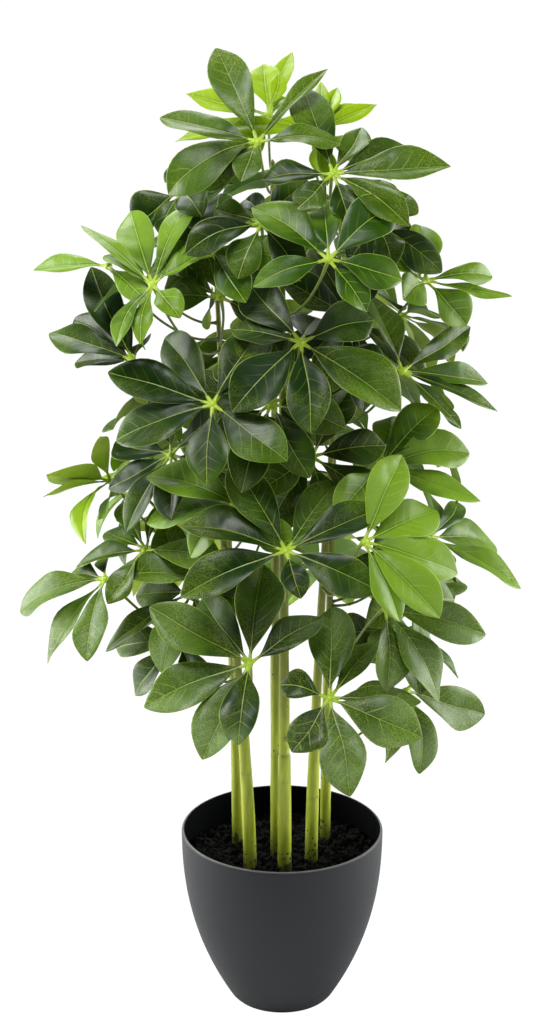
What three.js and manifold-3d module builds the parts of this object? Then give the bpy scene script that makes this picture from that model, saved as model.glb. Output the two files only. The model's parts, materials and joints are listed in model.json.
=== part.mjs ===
// Potted umbrella plant: a round tapered pot, its soil, six stems and their umbrella leaves.
// Millimetres, +Z up. The origin is the middle of the pot's underside, and the front looks to -Y.
import * as THREE from 'three';
import { mergeVertices } from 'three/addons/utils/BufferGeometryUtils.js';
import Module from 'manifold-3d';

const wasm = await Module();
wasm.setup();

// Driving dimensions of the pot and the soil
const GAP = 0.3;
const POT_HEIGHT = 167;
const POT_RIM_RADIUS = 92;
const POT_BASE_RADIUS = 46;
const POT_SWELL = 2.3;
const POT_WALL = 3.5;
const POT_FLOOR = 4;
const POT_SIDES = 40;
const POT_INSIDE_LEVELS = [25, 60, 100, 136];
const SOIL_TOP = 140;
const SOIL_SIDES = 24;
const SOIL_BUMP = 2.5;

// Driving dimensions of the stems
const STEM_FOOT = 60;
const STEM_SIDES = 8;
const STEM_STEP = 110;
const STEM_BASE_RADIUS = 5.8;
const STEM_TOP_RADIUS = 3.2;
const STEM_DOME = 3;

// Driving dimensions of an umbrella leaf's stalk. Its foot is below the hub by a height and by a share
// of the way out to the hub, and each end runs straight for a length or a share of that way.
const STALK_RADIUS = 1.2;
const STALK_SIDES = 4;
const STALK_DROP = 20;
const STALK_DROP_SHARE = 0.55;
const STALK_START = 14;
const STALK_START_SHARE = 0.4;
const STALK_END = 16;
const STALK_END_SHARE = 0.3;
const BELOW_STEM_TOP = 8;

// Driving dimensions of its hub and leaflets
const HUB_RADIUS = 3.6;
const HUB_HEIGHT = 3;
const HUB_DOME = 2.2;
const LEAFLET_STALK = 13;
const LEAFLET_STALK_WIDTH = 2.6;
const LEAFLET_STALK_THICKNESS = 1.9;
const LEAFLET_WIDTH = 35.5;
const USUAL_LEAFLET = 80;
const SHORTEST_LEAFLET = 44;
const LONGEST_LEAFLET = 92;
const LONG_LEAFLET = 79;
const BLADE_SKEW = 1.35;
const BLADE_ROUNDNESS = 0.7;
const RIB_THICKNESS = 1.4;
const LEAFLET_SAG = 0.1;
const SHANK_START = 5;
const SHANK_REACH = 1.5;

// What differs from leaflet to leaflet, each between two limits: angles in degrees, the share of the
// usual width, and for a leaflet that fills a gap its length, rise and turn off the gap's middle
const BEND = [14, 40];
const ROLL = [-12, 12];
const FOLD = [6, 18];
const BREADTH = [0.9, 1.1];
const FILL_LENGTH = [62, 88];
const FILL_RISE = [-14, 0];
const FILL_TURN = [-4.6, 4.6];

// The gap kept free between a leaf and all it doesn't grow from, how far below its hub a leaf is taken
// to leave its stem, and the least slant of a hub to the front view that a noted tip is set back by
const CLEARANCE = 0.35;
const CARRIER_DROP = 60;
const LEAST_SLANT = 0.35;

// The front view that leaflet tips are noted in: where its eye is, and the angle it looks down by.
const FRONT_VIEW_EYE = [-12, -2224, 1251];
const FRONT_VIEW_DROP = THREE.MathUtils.degToRad(19.3);

const UP = new THREE.Vector3(0, 0, 1);
const degrees = THREE.MathUtils.degToRad;

// A repeatable stream of numbers from 0 to 1.
function seeded(seed) {
  let state = seed * 2654435761 >>> 0;
  return () => {
    state = (state + 0x6d2b79f5) >>> 0;
    let mixed = Math.imul(state ^ (state >>> 15), state | 1);
    mixed ^= mixed + Math.imul(mixed ^ (mixed >>> 7), mixed | 61);
    return ((mixed ^ (mixed >>> 14)) >>> 0) / 4294967296;
  };
}

function between([low, high], random) {
  return THREE.MathUtils.lerp(low, high, random());
}

// A closed skin being built: points kept once, and triangles that turn outwards.
class Skin {
  constructor() {
    this.points = [];
    this.faces = [];
  }

  add(point) {
    this.points.push(point);
    return this.points.length - 1;
  }

  ring(points) {
    return points.map((point) => this.add(point));
  }

  // A band between two rings of one count, both turning right-handed about the way they are stacked.
  band(lower, upper) {
    lower.forEach((corner, i) => {
      const j = (i + 1) % lower.length;
      this.faces.push([corner, lower[j], upper[j]], [corner, upper[j], upper[i]]);
    });
  }

  fan(ring, tip) {
    ring.forEach((corner, i) => this.faces.push([corner, ring[(i + 1) % ring.length], tip]));
  }

  // A ring closed by triangles from its first corner, facing back along the stack.
  backCap(ring) {
    for (let i = 1; i < ring.length - 1; i += 1) {
      this.faces.push([ring[0], ring[i + 1], ring[i]]);
    }
  }

  frontCap(ring) {
    for (let i = 1; i < ring.length - 1; i += 1) {
      this.faces.push([ring[0], ring[i], ring[i + 1]]);
    }
  }

  // A band between rings of unlike counts, given each corner's angle about the shared axis.
  bridge(lower, lowerAngles, upper, upperAngles) {
    const turn = 2 * Math.PI;
    const fromStart = (angle) => ((angle - lowerAngles[0]) % turn + turn) % turn;
    const lowerTurns = lowerAngles.map(fromStart);
    const sorted = upperAngles.map((angle, i) => [fromStart(angle), upper[i]]).sort((a, b) => a[0] - b[0]);
    const upperTurns = sorted.map(([angle]) => angle);
    const upperRing = sorted.map(([, corner]) => corner);
    let i = 0;
    let j = 0;
    while (i < lower.length || j < upper.length) {
      const nextLower = i + 1 >= lower.length ? turn : lowerTurns[i + 1];
      const nextUpper = j + 1 >= upper.length ? turn + upperTurns[0] : upperTurns[j + 1];
      const here = lower[i % lower.length];
      const there = upperRing[j % upper.length];
      if (j >= upper.length || (i < lower.length && nextLower <= nextUpper)) {
        this.faces.push([here, lower[(i + 1) % lower.length], there]);
        i += 1;
      } else {
        this.faces.push([here, upperRing[(j + 1) % upper.length], there]);
        j += 1;
      }
    }
  }

  geometry() {
    const geometry = new THREE.BufferGeometry();
    const flat = this.points.flatMap((point) => [point.x, point.y, point.z]);
    geometry.setAttribute('position', new THREE.Float32BufferAttribute(flat, 3));
    geometry.setIndex(this.faces.flat());
    return geometry;
  }

  solid() {
    return solidOf(this.geometry());
  }
}

function solidOf(geometry) {
  const vertProperties = new Float32Array(geometry.attributes.position.array);
  const triVerts = new Uint32Array(geometry.index.array);
  return new wasm.Manifold(new wasm.Mesh({ numProp: 3, vertProperties, triVerts }));
}

function geometryOf(solid) {
  const mesh = solid.getMesh();
  const geometry = new THREE.BufferGeometry();
  geometry.setAttribute('position', new THREE.BufferAttribute(mesh.vertProperties, 3));
  geometry.setIndex(new THREE.BufferAttribute(mesh.triVerts, 1));
  return geometry;
}

// Pot: its outside radius grows with height by a power law, steep at the rim and tucked in at the base.
function potRadius(height) {
  return POT_RIM_RADIUS - (POT_RIM_RADIUS - POT_BASE_RADIUS) * (1 - height / POT_HEIGHT) ** POT_SWELL;
}

function turnedGeometry(profile, sides) {
  const lathe = new THREE.LatheGeometry(profile.map(([x, y]) => new THREE.Vector2(x, y)), sides);
  lathe.deleteAttribute('normal');
  lathe.deleteAttribute('uv');
  lathe.rotateX(Math.PI / 2);
  return mergeVertices(lathe, 1e-4);
}

function potGeometry() {
  const lipRound = 1.2;
  const outside = [16, 42, 72, 108, POT_HEIGHT - lipRound].map((height) => [potRadius(height), height]);
  const insideLevels = [...POT_INSIDE_LEVELS, POT_HEIGHT - lipRound].reverse();
  const inside = insideLevels.map((height) => [potRadius(height) - POT_WALL, height]);
  const profile = [
    [0, 0],
    [POT_BASE_RADIUS - 3.5, 0],
    [potRadius(2.5), 2.5],
    ...outside,
    [POT_RIM_RADIUS - lipRound, POT_HEIGHT],
    [POT_RIM_RADIUS - POT_WALL + lipRound, POT_HEIGHT],
    ...inside,
    [potRadius(POT_FLOOR) - POT_WALL - 2, POT_FLOOR],
    [0, POT_FLOOR],
  ];
  return turnedGeometry(profile, POT_SIDES);
}

// Soil: a plug that fills the pot to SOIL_TOP, with a bumpy top and a plain hole for each stem.
function soilSkin() {
  const random = seeded(7);
  const skin = new Skin();
  const floor = POT_FLOOR + GAP;
  const flatOfPot = Math.cos(Math.PI / POT_SIDES);
  const wallRadius = (height) => (potRadius(height) - POT_WALL) * flatOfPot - GAP;
  const ringAt = (radius, height, bump) => skin.ring(Array.from({ length: SOIL_SIDES }, (_, i) => {
    const angle = 2 * Math.PI * i / SOIL_SIDES;
    const lift = bump * (random() - 0.5) * 2;
    return new THREE.Vector3(radius * Math.cos(angle), radius * Math.sin(angle), height + lift);
  }));
  const rings = [
    ringAt(wallRadius(POT_FLOOR) - 2, floor, 0),
    ...POT_INSIDE_LEVELS.map((height) => ringAt(wallRadius(height), height, 0)),
    ringAt(66, SOIL_TOP, SOIL_BUMP),
    ringAt(46, SOIL_TOP + 1, SOIL_BUMP),
    ringAt(22, SOIL_TOP + 1, SOIL_BUMP),
  ];
  rings.slice(1).forEach((ring, i) => skin.band(rings[i], ring));
  skin.backCap(rings[0]);
  skin.fan(rings.at(-1), skin.add(new THREE.Vector3(0, 0, SOIL_TOP + 1)));
  return skin;
}

// Stems: x and y of the base at the soil, then x, y and height of the top, and the base radius.
const STEMS = [
  { base: [-29, -28], top: [-62, -50, 560], thick: 1 },
  { base: [-41, 17], top: [-58, 40, 680], thick: 0.83 },
  { base: [-5.5, 2], top: [-9, 20, 780], thick: 0.86 },
  { base: [2, -38], top: [-1, -45, 690], thick: 1.05 },
  { base: [26.5, -16], top: [45, -40, 600], thick: 0.97 },
  { base: [40, 28], top: [50, 36, 730], thick: 0.8 },
];

// Heights of a stem's rings above the soil.
function stemLevels(stem) {
  const top = stem.top[2];
  const spans = Math.round((top - SOIL_TOP) / STEM_STEP);
  return Array.from({ length: spans + 1 }, (_, i) => THREE.MathUtils.lerp(SOIL_TOP, top, i / spans));
}

// The middle of a ring: the stem stands upright at the soil and leans out by a power of the height.
function stemRingMiddle(stem, height) {
  const [baseX, baseY] = stem.base;
  const [topX, topY, topZ] = stem.top;
  const lean = Math.max(0, (height - SOIL_TOP) / (topZ - SOIL_TOP)) ** 1.5;
  return new THREE.Vector3(baseX + (topX - baseX) * lean, baseY + (topY - baseY) * lean, height);
}

// The middle of a stem at any height above the soil, straight from ring to ring, and the way it runs.
function stemAt(stem, height) {
  const levels = stemLevels(stem);
  const span = Math.min(levels.length - 2, levels.findLastIndex((level) => level <= height));
  const below = stemRingMiddle(stem, levels[span]);
  const above = stemRingMiddle(stem, levels[span + 1]);
  const along = above.clone().sub(below).normalize();
  const middle = below.lerp(above, (height - levels[span]) / (levels[span + 1] - levels[span]));
  return { middle, along };
}

function stemRadius(stem, height) {
  const share = Math.max(0, (height - SOIL_TOP) / (stem.top[2] - SOIL_TOP));
  return stem.thick * THREE.MathUtils.lerp(STEM_BASE_RADIUS, STEM_TOP_RADIUS, share);
}

function stemSkin(stem, grow) {
  const skin = new Skin();
  const rings = [STEM_FOOT - grow, ...stemLevels(stem)].map((height) => {
    const middle = stemRingMiddle(stem, height);
    const radius = stemRadius(stem, height) + grow;
    return skin.ring(Array.from({ length: STEM_SIDES }, (_, i) => {
      const angle = 2 * Math.PI * i / STEM_SIDES;
      return middle.clone().add(new THREE.Vector3(radius * Math.cos(angle), radius * Math.sin(angle), 0));
    }));
  });
  rings.slice(1).forEach((ring, i) => skin.band(rings[i], ring));
  skin.backCap(rings[0]);
  const dome = stemRingMiddle(stem, stem.top[2]).addScaledVector(UP, STEM_DOME + grow);
  skin.fan(rings.at(-1), skin.add(dome));
  return skin;
}

// Leaves seen in front. hub: x, y, z of the hub. faces: the way the hub faces, as degrees turned from
// the front towards +X and degrees raised. tips: each leaflet's tip as seen in the front view, as
// millimetres to the right of and above the hub, and for some its share of the usual width and its bend
// in degrees. count: leaflets in all, the rest filling the gaps.
const FRONT_LEAVES = [
  { hub: [-21, -45, 811], faces: [-10, 50], stem: 3, count: 7, slim: 0.84,
    tips: [[-35, 78], [-81, 20, 1, 6], [-76, -43, 1.3, 66], [-43, -40], [-13, -38],
      [68, -1], [57, 62, 0.5, 10]] },
  { hub: [40, -60, 787], faces: [15, 50], stem: 6, count: 8,
    tips: [[97, 7, 0.9, 4], [67, 20], [25, 41, 0.7], [-25, 72, 0.9], [-58, -2], [-30, -30], [14, -40],
      [60, -50, 0.8]] },
  { hub: [-12, 35, 817], faces: [0, 50], stem: 3, count: 8, lime: true, slim: 0.46,
    tips: [[20, 56, 0.9, 8], [-5, 46, 1.8], [9, 30], [-71, 20, 1.35, 8], [-80, -22], [18, 14],
      [38, -18, 1.8], [-28, -48, 1.8]] },
  { hub: [26, 20, 805], faces: [20, 50], stem: 6, count: 7, lime: true, slim: 0.42,
    tips: [[21, 42], [39, 28], [51, 18], [6, 44], [66, -40, 2], [12, -44, 1.8]] },
  { hub: [-108, -70, 696], faces: [-35, 60], stem: 2, count: 9, slim: 0.8,
    tips: [[51, 57], [33, 74], [40, 18], [22, -26], [-31, -50, 0.9], [-36, 16], [-19, 63],
      [-56, 40, 0.5], [-12, -47, 0.8]] },
  { hub: [-148, -20, 700], faces: [-60, 50], stem: 2, count: 3, lime: true, slim: 0.7,
    tips: [[-63, -3, 1, 16], [30, -26], [28, 20]] },
  { hub: [-61, -52, 724], faces: [-15, 45], stem: 3, count: 4,
    tips: [[30, -46], [8, 46], [74, -2], [-28, 22]] },
  { hub: [36, -110, 728], faces: [10, 45], stem: 4, count: 6,
    tips: [[-4, 48], [53, 37], [60, -17], [31, -42], [-61, -22], [-62, 42]] },
  { hub: [14, -95, 654], faces: [0, 45], stem: 4, count: 7, slim: 1.1,
    tips: [[5, 61], [61, 19], [9, -75], [-57, -57], [84, -55], [-58, 12]] },
  { hub: [120, -20, 687], faces: [30, 45], stem: 6, count: 7, slim: 0.86,
    tips: [[-4, 48, 1.05], [57, 4, 0.75], [74, -13, 0.4, 4], [35, -38, 1.4], [-22, 10], [-18, -15, 1.3]] },
  { hub: [98, -80, 625], faces: [35, 45], stem: 5, count: 6, slim: 0.9,
    tips: [[74, -8, 0.6, 8], [81, -33, 0.8, 8], [58, 38, 0.65, 8], [50, -48, 0.5], [-47, 16, 0.8],
      [-28, 67]] },
  { hub: [-58, -110, 605], faces: [-20, 45], stem: 1, count: 7, slim: 1.06,
    tips: [[-87, 27, 0.9, 4], [-81, -29, 1.1], [-6, -65], [61, -46], [-40, 56, 0.8], [30, 36], [42, 64]] },
  { hub: [-128, -10, 613], faces: [-60, 60], stem: 2, count: 7, slim: 0.78,
    tips: [[-73, 27], [-51, 0], [-51, 37], [-39, 83], [-14, 50], [10, 20]] },
  { hub: [2, -150, 491], faces: [0, 50], stem: 4, count: 7, slim: 0.92,
    tips: [[-87, 21], [-88, -37], [12, -38], [77, -33], [81, 37], [44, 60], [-44, 66]] },
  { hub: [-33, -120, 519], faces: [-40, 60], stem: 1, count: 5, lime: true,
    tips: [[-81, 27], [-82, -12], [-50, -36], [20, 10]] },
  { hub: [82, -70, 539], faces: [20, 55], stem: 5, count: 7,
    tips: [[86, -29, 0.9, 8], [-27, 28], [11, 44], [46, 43, 0.9], [76, 12], [30, 5]] },
  { hub: [65, -150, 499], faces: [30, 45], stem: 5, count: 6, lime: true,
    tips: [[24, 64], [63, 27], [81, -25], [57, -69], [32, -65], [-14, 4]] },
  { hub: [-118, -60, 459], faces: [-50, 55], stem: 2, count: 6,
    tips: [[-37, 18, 0.6], [-20, 45, 0.6], [-60, -14, 0.8], [-35, -45], [20, 46, 0.5]] },
  { hub: [-153, -60, 433], faces: [-65, 45], stem: 1, count: 6,
    tips: [[-75, -28], [-53, -72], [-17, -71], [-4, 41, 0.8], [-34, 2]] },
  { hub: [-28, -150, 391], faces: [-10, 45], stem: 1, count: 7,
    tips: [[-84, 48], [-41, 56], [13, 77], [61, 39], [-90, -35], [-40, -80], [-8, -72]] },
  { hub: [38, -160, 364], faces: [10, 45], stem: 4, count: 7,
    tips: [[2, 77], [43, 50, 0.65, 8], [78, -2], [75, -37, 1.25, 8], [18, -82, 1.15], [-31, -45],
      [-41, 12]] },
  { hub: [85, -120, 429], faces: [35, 35], stem: 5, count: 5,
    tips: [[2, -71], [47, -79], [86, -22], [62, 8], [30, 50]] },
  { hub: [-153, 40, 489], faces: [-110, 50], stem: 2, count: 5, lime: true, slim: 0.7,
    tips: [[-58, 5, 1.2, 8], [-61, -15, 0.6, 8], [-24, -57, 1, 50], [-10, 40, 0.7]] },
  { hub: [132, 20, 442], faces: [80, 45], stem: 6, count: 6, lime: true,
    tips: [[60, -6, 1.1, 20], [82, -43, 1.2, 8], [24, 32, 0.5], [-5, 45, 0.8], [-50, -10],
      [-10, -45, 0.8]] },
  { hub: [116, -30, 411], faces: [60, 40], stem: 6, count: 7,
    tips: [[42, 8, 0.8], [38, -30], [0, 45], [0, -50]] },
  { hub: [109, -40, 320], faces: [40, 40], stem: 5, count: 5,
    tips: [[72, -20, 1.1, 4], [14, -74], [-17, -64, 0.7], [28, 30, 0.6], [-48, -4, 0.8]] },
  { hub: [-88, -75, 381], faces: [-50, 40], stem: 1, count: 5,
    tips: [[-42, -46, 1.2], [-50, -10], [20, -50], [-12, 46]] },
  { hub: [-95, -50, 542], faces: [-40, 45], stem: 1, count: 7,
    tips: [[-54, -29], [-40, -65], [-50, 12], [5, -60]] },
  { hub: [79, 0, 731], faces: [20, 45], stem: 6, count: 8,
    tips: [[28, 25, 1.2], [32, -12], [10, -44], [-25, -34], [-50, 2], [-30, 34], [4, 40]] },
  { hub: [-86, 10, 758], faces: [-30, 45], stem: 2, count: 6,
    tips: [[-42, -30, 1.3], [-14, -42], [28, -38], [46, 2], [22, 36], [-9, 22, 0.7]] },
  { hub: [-79, -60, 421], faces: [-30, 40], stem: 1, count: 7, tips: [[-74, -52, 0.55, 30]] },
  { hub: [-10, -78, 596], faces: [-15, 40], stem: 3, count: 9, tips: [] },
  { hub: [58, -50, 660], faces: [30, 45], stem: 6, count: 8, tips: [] },
  { hub: [-53, -30, 675], faces: [-20, 45], stem: 2, count: 7,
    tips: [[-45, 22], [-15, 48], [25, 50], [52, 15], [42, -21, 1.2], [-48, -6, 1.3], [-6, -17, 1.3]] },
  { hub: [24, -72, 548], faces: [12, 38], stem: 4, count: 9, tips: [] },
  { hub: [-18, -55, 745], faces: [0, 48], stem: 3, count: 7,
    tips: [[-40, 12], [-14, 22, 0.8], [42, 36], [62, -8], [32, -48], [-20, -46]] },
];

// Width of the foliage at some heights, as a radius about the pot's axis, read from its outline.
const FOLIAGE_OUTLINE = [
  [290, 110], [340, 140], [430, 205], [520, 205], [620, 200], [700, 195], [790, 130], [870, 60],
];

function foliageRadius(height) {
  const above = FOLIAGE_OUTLINE.findIndex(([level]) => level >= height);
  const [lowLevel, lowRadius] = FOLIAGE_OUTLINE[above - 1];
  const [highLevel, highRadius] = FOLIAGE_OUTLINE[above];
  return THREE.MathUtils.mapLinear(height, lowLevel, highLevel, lowRadius, highRadius);
}

// Between these limits of x and height the plant can be looked through from the front, so a leaf at the
// back that would stand there grows this much lower.
const LOOK_THROUGH = { left: -140, right: -20, low: 585, high: 670, lower: 60 };

function besideLookThrough([x, y, height]) {
  const { left, right, low, high, lower } = LOOK_THROUGH;
  const inside = x > left && x < right && height > low && height < high;
  return [x, y, inside ? height - lower : height];
}

// Leaves at the back: they climb in a spiral through the half turn that the front leaves don't fill.
function backLeaves() {
  const random = seeded(31);
  const count = 16;
  const lowest = 350;
  const highest = 740;
  return Array.from({ length: count }, (_, i) => {
    const height = THREE.MathUtils.lerp(lowest, highest, (i + 0.5) / count);
    const swing = ((i * 0.382) % 1 - 0.5) * 180;
    const azimuth = 180 + swing;
    const reach = foliageRadius(height) * (0.56 + 0.12 * random());
    const outward = degrees(azimuth);
    const hub = besideLookThrough([reach * Math.sin(outward), -reach * Math.cos(outward), height]);
    const faces = [azimuth + 20 * (random() - 0.5), 32 + 20 * random()];
    return { hub, faces, stem: 0, count: 7 + Math.round(random()), tips: [], lime: i % 4 === 1 };
  });
}

function facing([azimuth, elevation]) {
  const level = Math.cos(degrees(elevation));
  const turn = degrees(azimuth);
  return new THREE.Vector3(level * Math.sin(turn), -level * Math.cos(turn), Math.sin(degrees(elevation)));
}

// The stems that a leaf may grow from: the one it names first, then those near it that are tall enough.
function carriers(leaf) {
  const root = new THREE.Vector3(...leaf.hub);
  root.z -= CARRIER_DROP;
  const tall = STEMS.filter((stem) => stem.top[2] > root.z);
  const distance = (stem) => stemAt(stem, root.z).middle.distanceTo(root);
  const nearest = tall.sort((a, b) => distance(a) - distance(b)).slice(0, 3);
  return leaf.stem ? [STEMS[leaf.stem - 1], ...nearest] : nearest;
}

// A stalk: it leaves the stem level, rises in a bow and comes up behind the hub along the hub's axis.
function stalkCurve(leaf, stem, drop, bow) {
  const hub = new THREE.Vector3(...leaf.hub);
  const axis = facing(leaf.faces);
  const level = Math.min(hub.z - drop, stem.top[2] - BELOW_STEM_TOP);
  const { middle, along } = stemAt(stem, level);
  const outward = new THREE.Vector3(hub.x - middle.x, hub.y - middle.y, 0);
  const distance = outward.length();
  outward.addScaledVector(along, -outward.dot(along)).normalize();
  const foot = middle.addScaledVector(outward, stemRadius(stem, level) + GAP);
  const sideways = new THREE.Vector3().crossVectors(outward, UP).multiplyScalar(bow);
  const start = Math.max(STALK_START, STALK_START_SHARE * distance);
  const finish = Math.max(STALK_END, STALK_END_SHARE * distance);
  const first = foot.clone().addScaledVector(outward, start).add(sideways);
  const last = hub.clone().addScaledVector(axis, -finish).add(sideways);
  const end = hub.clone().addScaledVector(axis, -HUB_HEIGHT / 2 - 2);
  return { curve: new THREE.CubicBezierCurve3(foot, first, last, end), outward, axis };
}

// Where a stalk's rings stand along it, and the radius of each.
const STALK_STATIONS = [0, 0.12, 0.4, 0.72, 1];
const STALK_THICKNESS = [1.83, 1.15, 1, 1, 1.5].map((share) => share * STALK_RADIUS);

// Rings of a stalk, each turned without twist from the one before. The first stands flat against the
// stem, and the last squarely behind the hub.
function stalkRings({ curve, outward, axis }, grow) {
  const lastRing = STALK_STATIONS.length - 1;
  let side = UP;
  return STALK_STATIONS.map((share, i) => {
    const along = i === 0 ? outward : i === lastRing ? axis : curve.getTangent(share);
    side = side.clone().addScaledVector(along, -side.dot(along)).normalize();
    const across = new THREE.Vector3().crossVectors(along, side);
    const middle = curve.getPoint(share);
    const radius = STALK_THICKNESS[i] + grow;
    const points = Array.from({ length: STALK_SIDES }, (_, k) => {
      const angle = 2 * Math.PI * k / STALK_SIDES;
      return middle.clone()
        .addScaledVector(side, radius * Math.cos(angle))
        .addScaledVector(across, radius * Math.sin(angle));
    });
    return { points, side, across };
  });
}

function stalkSolid(rings, from) {
  const skin = new Skin();
  const corners = rings.slice(from).map((ring) => skin.ring(ring.points));
  corners.slice(1).forEach((ring, i) => skin.band(corners[i], ring));
  skin.backCap(corners[0]);
  skin.frontCap(corners.at(-1));
  return skin.solid();
}

// A leaflet's outline: 0 at its base, widest past the middle, round at its tip.
function bladeWidth(share) {
  return Math.sin(Math.PI * share ** BLADE_SKEW) ** BLADE_ROUNDNESS;
}

// Rings along a blade: a long blade has one more.
function bladeStations(leaflet) {
  return leaflet.length > LONG_LEAFLET ? [0.3, 0.6, 0.86] : [0.36, 0.76];
}

// The middle line of a leaflet is a circular arc in the plane of its heading and the hub's axis.
function leafletFrame(leaflet, distance) {
  const { hub, axis, heading, lift, bend, length, roll } = leaflet;
  const turn = bend * distance / length;
  const radius = length / bend;
  const forward = radius * (Math.sin(lift) - Math.sin(lift - turn));
  const upward = radius * (Math.cos(lift - turn) - Math.cos(lift));
  const middle = hub.clone().addScaledVector(heading, forward).addScaledVector(axis, upward);
  const angle = lift - turn;
  const along = heading.clone().multiplyScalar(Math.cos(angle)).addScaledVector(axis, Math.sin(angle));
  const up = axis.clone().multiplyScalar(Math.cos(angle)).addScaledVector(heading, -Math.sin(angle));
  const twist = roll * distance / length;
  up.applyAxisAngle(along, twist);
  const right = new THREE.Vector3().crossVectors(up, along);
  return { middle, right, up };
}

// The rings of a leaflet from its short stalk to the last before the tip: right, rib top, left, rib
// underside. With grow above 0 each edge is split in two, so the skin stands that far out all round.
function leafletRings(leaflet, grow) {
  const blade = leaflet.length - LEAFLET_STALK;
  const rings = [{
    distance: LEAFLET_STALK,
    width: LEAFLET_STALK_WIDTH,
    thickness: LEAFLET_STALK_THICKNESS,
    fold: 0,
  }];
  bladeStations(leaflet).forEach((share) => {
    rings.push({
      distance: LEAFLET_STALK + blade * share,
      width: leaflet.width * bladeWidth(share),
      thickness: RIB_THICKNESS,
      fold: leaflet.fold,
    });
  });
  return rings.map(({ distance, width, thickness, fold }) => {
    const { middle, right, up } = leafletFrame(leaflet, distance);
    const at = (across, above) => middle.clone().addScaledVector(right, across).addScaledVector(up, above);
    const edge = width / 2 + grow;
    const raised = edge * Math.tan(fold);
    const rib = thickness / 2 + grow;
    if (grow === 0) {
      return [at(edge, raised), at(0, rib), at(-edge, raised), at(0, -rib)];
    }
    const [low, high] = [raised - 2 * grow, raised + 2 * grow];
    const over = rib + grow;
    return [at(edge, low), at(edge, high), at(0, over), at(-edge, high), at(-edge, low), at(0, -over)];
  });
}

function leafletTip(leaflet, grow) {
  return leafletFrame(leaflet, leaflet.length + 2 * grow).middle;
}

// A leaflet by itself, from one of its rings on, for testing what it would cross.
function leafletSolid(leaflet, grow) {
  const skin = new Skin();
  const corners = leafletRings(leaflet, grow).map((ring) => skin.ring(ring));
  corners.slice(1).forEach((ring, i) => skin.band(corners[i], ring));
  skin.backCap(corners[0]);
  skin.fan(corners.at(-1), skin.add(leafletTip(leaflet, grow)));
  return skin.solid();
}

// The short stalk of a leaflet by itself, from close to the hub to where the blade starts.
function leafletStalkSolid(leaflet, grow) {
  const skin = new Skin();
  const corners = [SHANK_START, LEAFLET_STALK + 1].map((distance) => {
    const { middle, right, up } = leafletFrame(leaflet, distance);
    const reach = SHANK_REACH + grow;
    return skin.ring([[1, 0], [0, 1], [-1, 0], [0, -1]].map(([across, above]) => (
      middle.clone().addScaledVector(right, across * reach).addScaledVector(up, above * reach)
    )));
  });
  skin.band(corners[0], corners[1]);
  skin.backCap(corners[0]);
  skin.frontCap(corners[1]);
  return skin.solid();
}

// The ball of space that a hub and its dome take up, as an eight-sided block.
function hubSolid(hub, axis, side, across, grow) {
  const skin = new Skin();
  const radius = HUB_RADIUS + grow;
  const corners = [-HUB_HEIGHT - grow, HUB_HEIGHT / 2 + HUB_DOME + grow].map((height) => (
    skin.ring(Array.from({ length: 8 }, (_, i) => {
      const angle = 2 * Math.PI * i / 8;
      return hub.clone().addScaledVector(axis, height)
        .addScaledVector(side, radius * Math.cos(angle))
        .addScaledVector(across, radius * Math.sin(angle));
    }))
  ));
  skin.band(corners[0], corners[1]);
  skin.backCap(corners[0]);
  skin.frontCap(corners[1]);
  return skin.solid();
}

// What is already in place: each solid with the leaf it belongs to and its box.
const placed = [];

function place(solid, owner, kind) {
  placed.push({ solid, owner, kind, box: solid.boundingBox() });
}

function boxesMeet(a, b) {
  return [0, 1, 2].every((i) => a.min[i] <= b.max[i] && b.min[i] <= a.max[i]);
}

// Whether a solid stays clear of everything placed that the filter picks.
function isClear(solid, filter) {
  const box = solid.boundingBox();
  return placed.every((other) => {
    if (!filter(other) || !boxesMeet(box, other.box)) {
      return true;
    }
    const shared = solid.intersect(other.solid);
    const empty = shared.isEmpty();
    shared.delete();
    return empty;
  });
}

// The ways a stalk may take to stay clear: how much lower its foot is, and how far it bows sideways.
const STALK_TRIES = [
  [0, 0], [15, 0], [-12, 0], [0, 12], [0, -12], [30, 0], [15, 14], [15, -14], [-20, 10], [-20, -10],
  [30, 20], [30, -20], [45, 0], [0, 24], [0, -24], [45, 20], [45, -20], [60, 0], [60, 25], [60, -25],
];

// A stalk that clears all that is placed, on the first of the near stems that has room for it.
function growStalk(leaf, owner) {
  const hub = new THREE.Vector3(...leaf.hub);
  const axis = facing(leaf.faces);
  for (const stem of carriers(leaf)) {
    const { middle } = stemAt(stem, Math.min(hub.z, stem.top[2]));
    const drop = STALK_DROP + STALK_DROP_SHARE * Math.hypot(hub.x - middle.x, hub.y - middle.y);
    for (const [lower, bow] of STALK_TRIES) {
      const path = stalkCurve(leaf, stem, drop + lower, bow);
      const rings = stalkRings(path, 0);
      const { side, across } = rings.at(-1);
      const clear = isClear(stalkSolid(stalkRings(path, CLEARANCE), 1), () => true)
        && isClear(hubSolid(hub, axis, side, across, CLEARANCE), () => true)
        && isClear(stalkSolid(stalkRings(path, CLEARANCE), 0), (other) => other.kind !== 'stem');
      if (clear) {
        place(stalkSolid(rings, 0), owner, 'stalk');
        place(hubSolid(hub, axis, side, across, 0), owner, 'hub');
        return rings;
      }
    }
  }
  return null;
}

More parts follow.
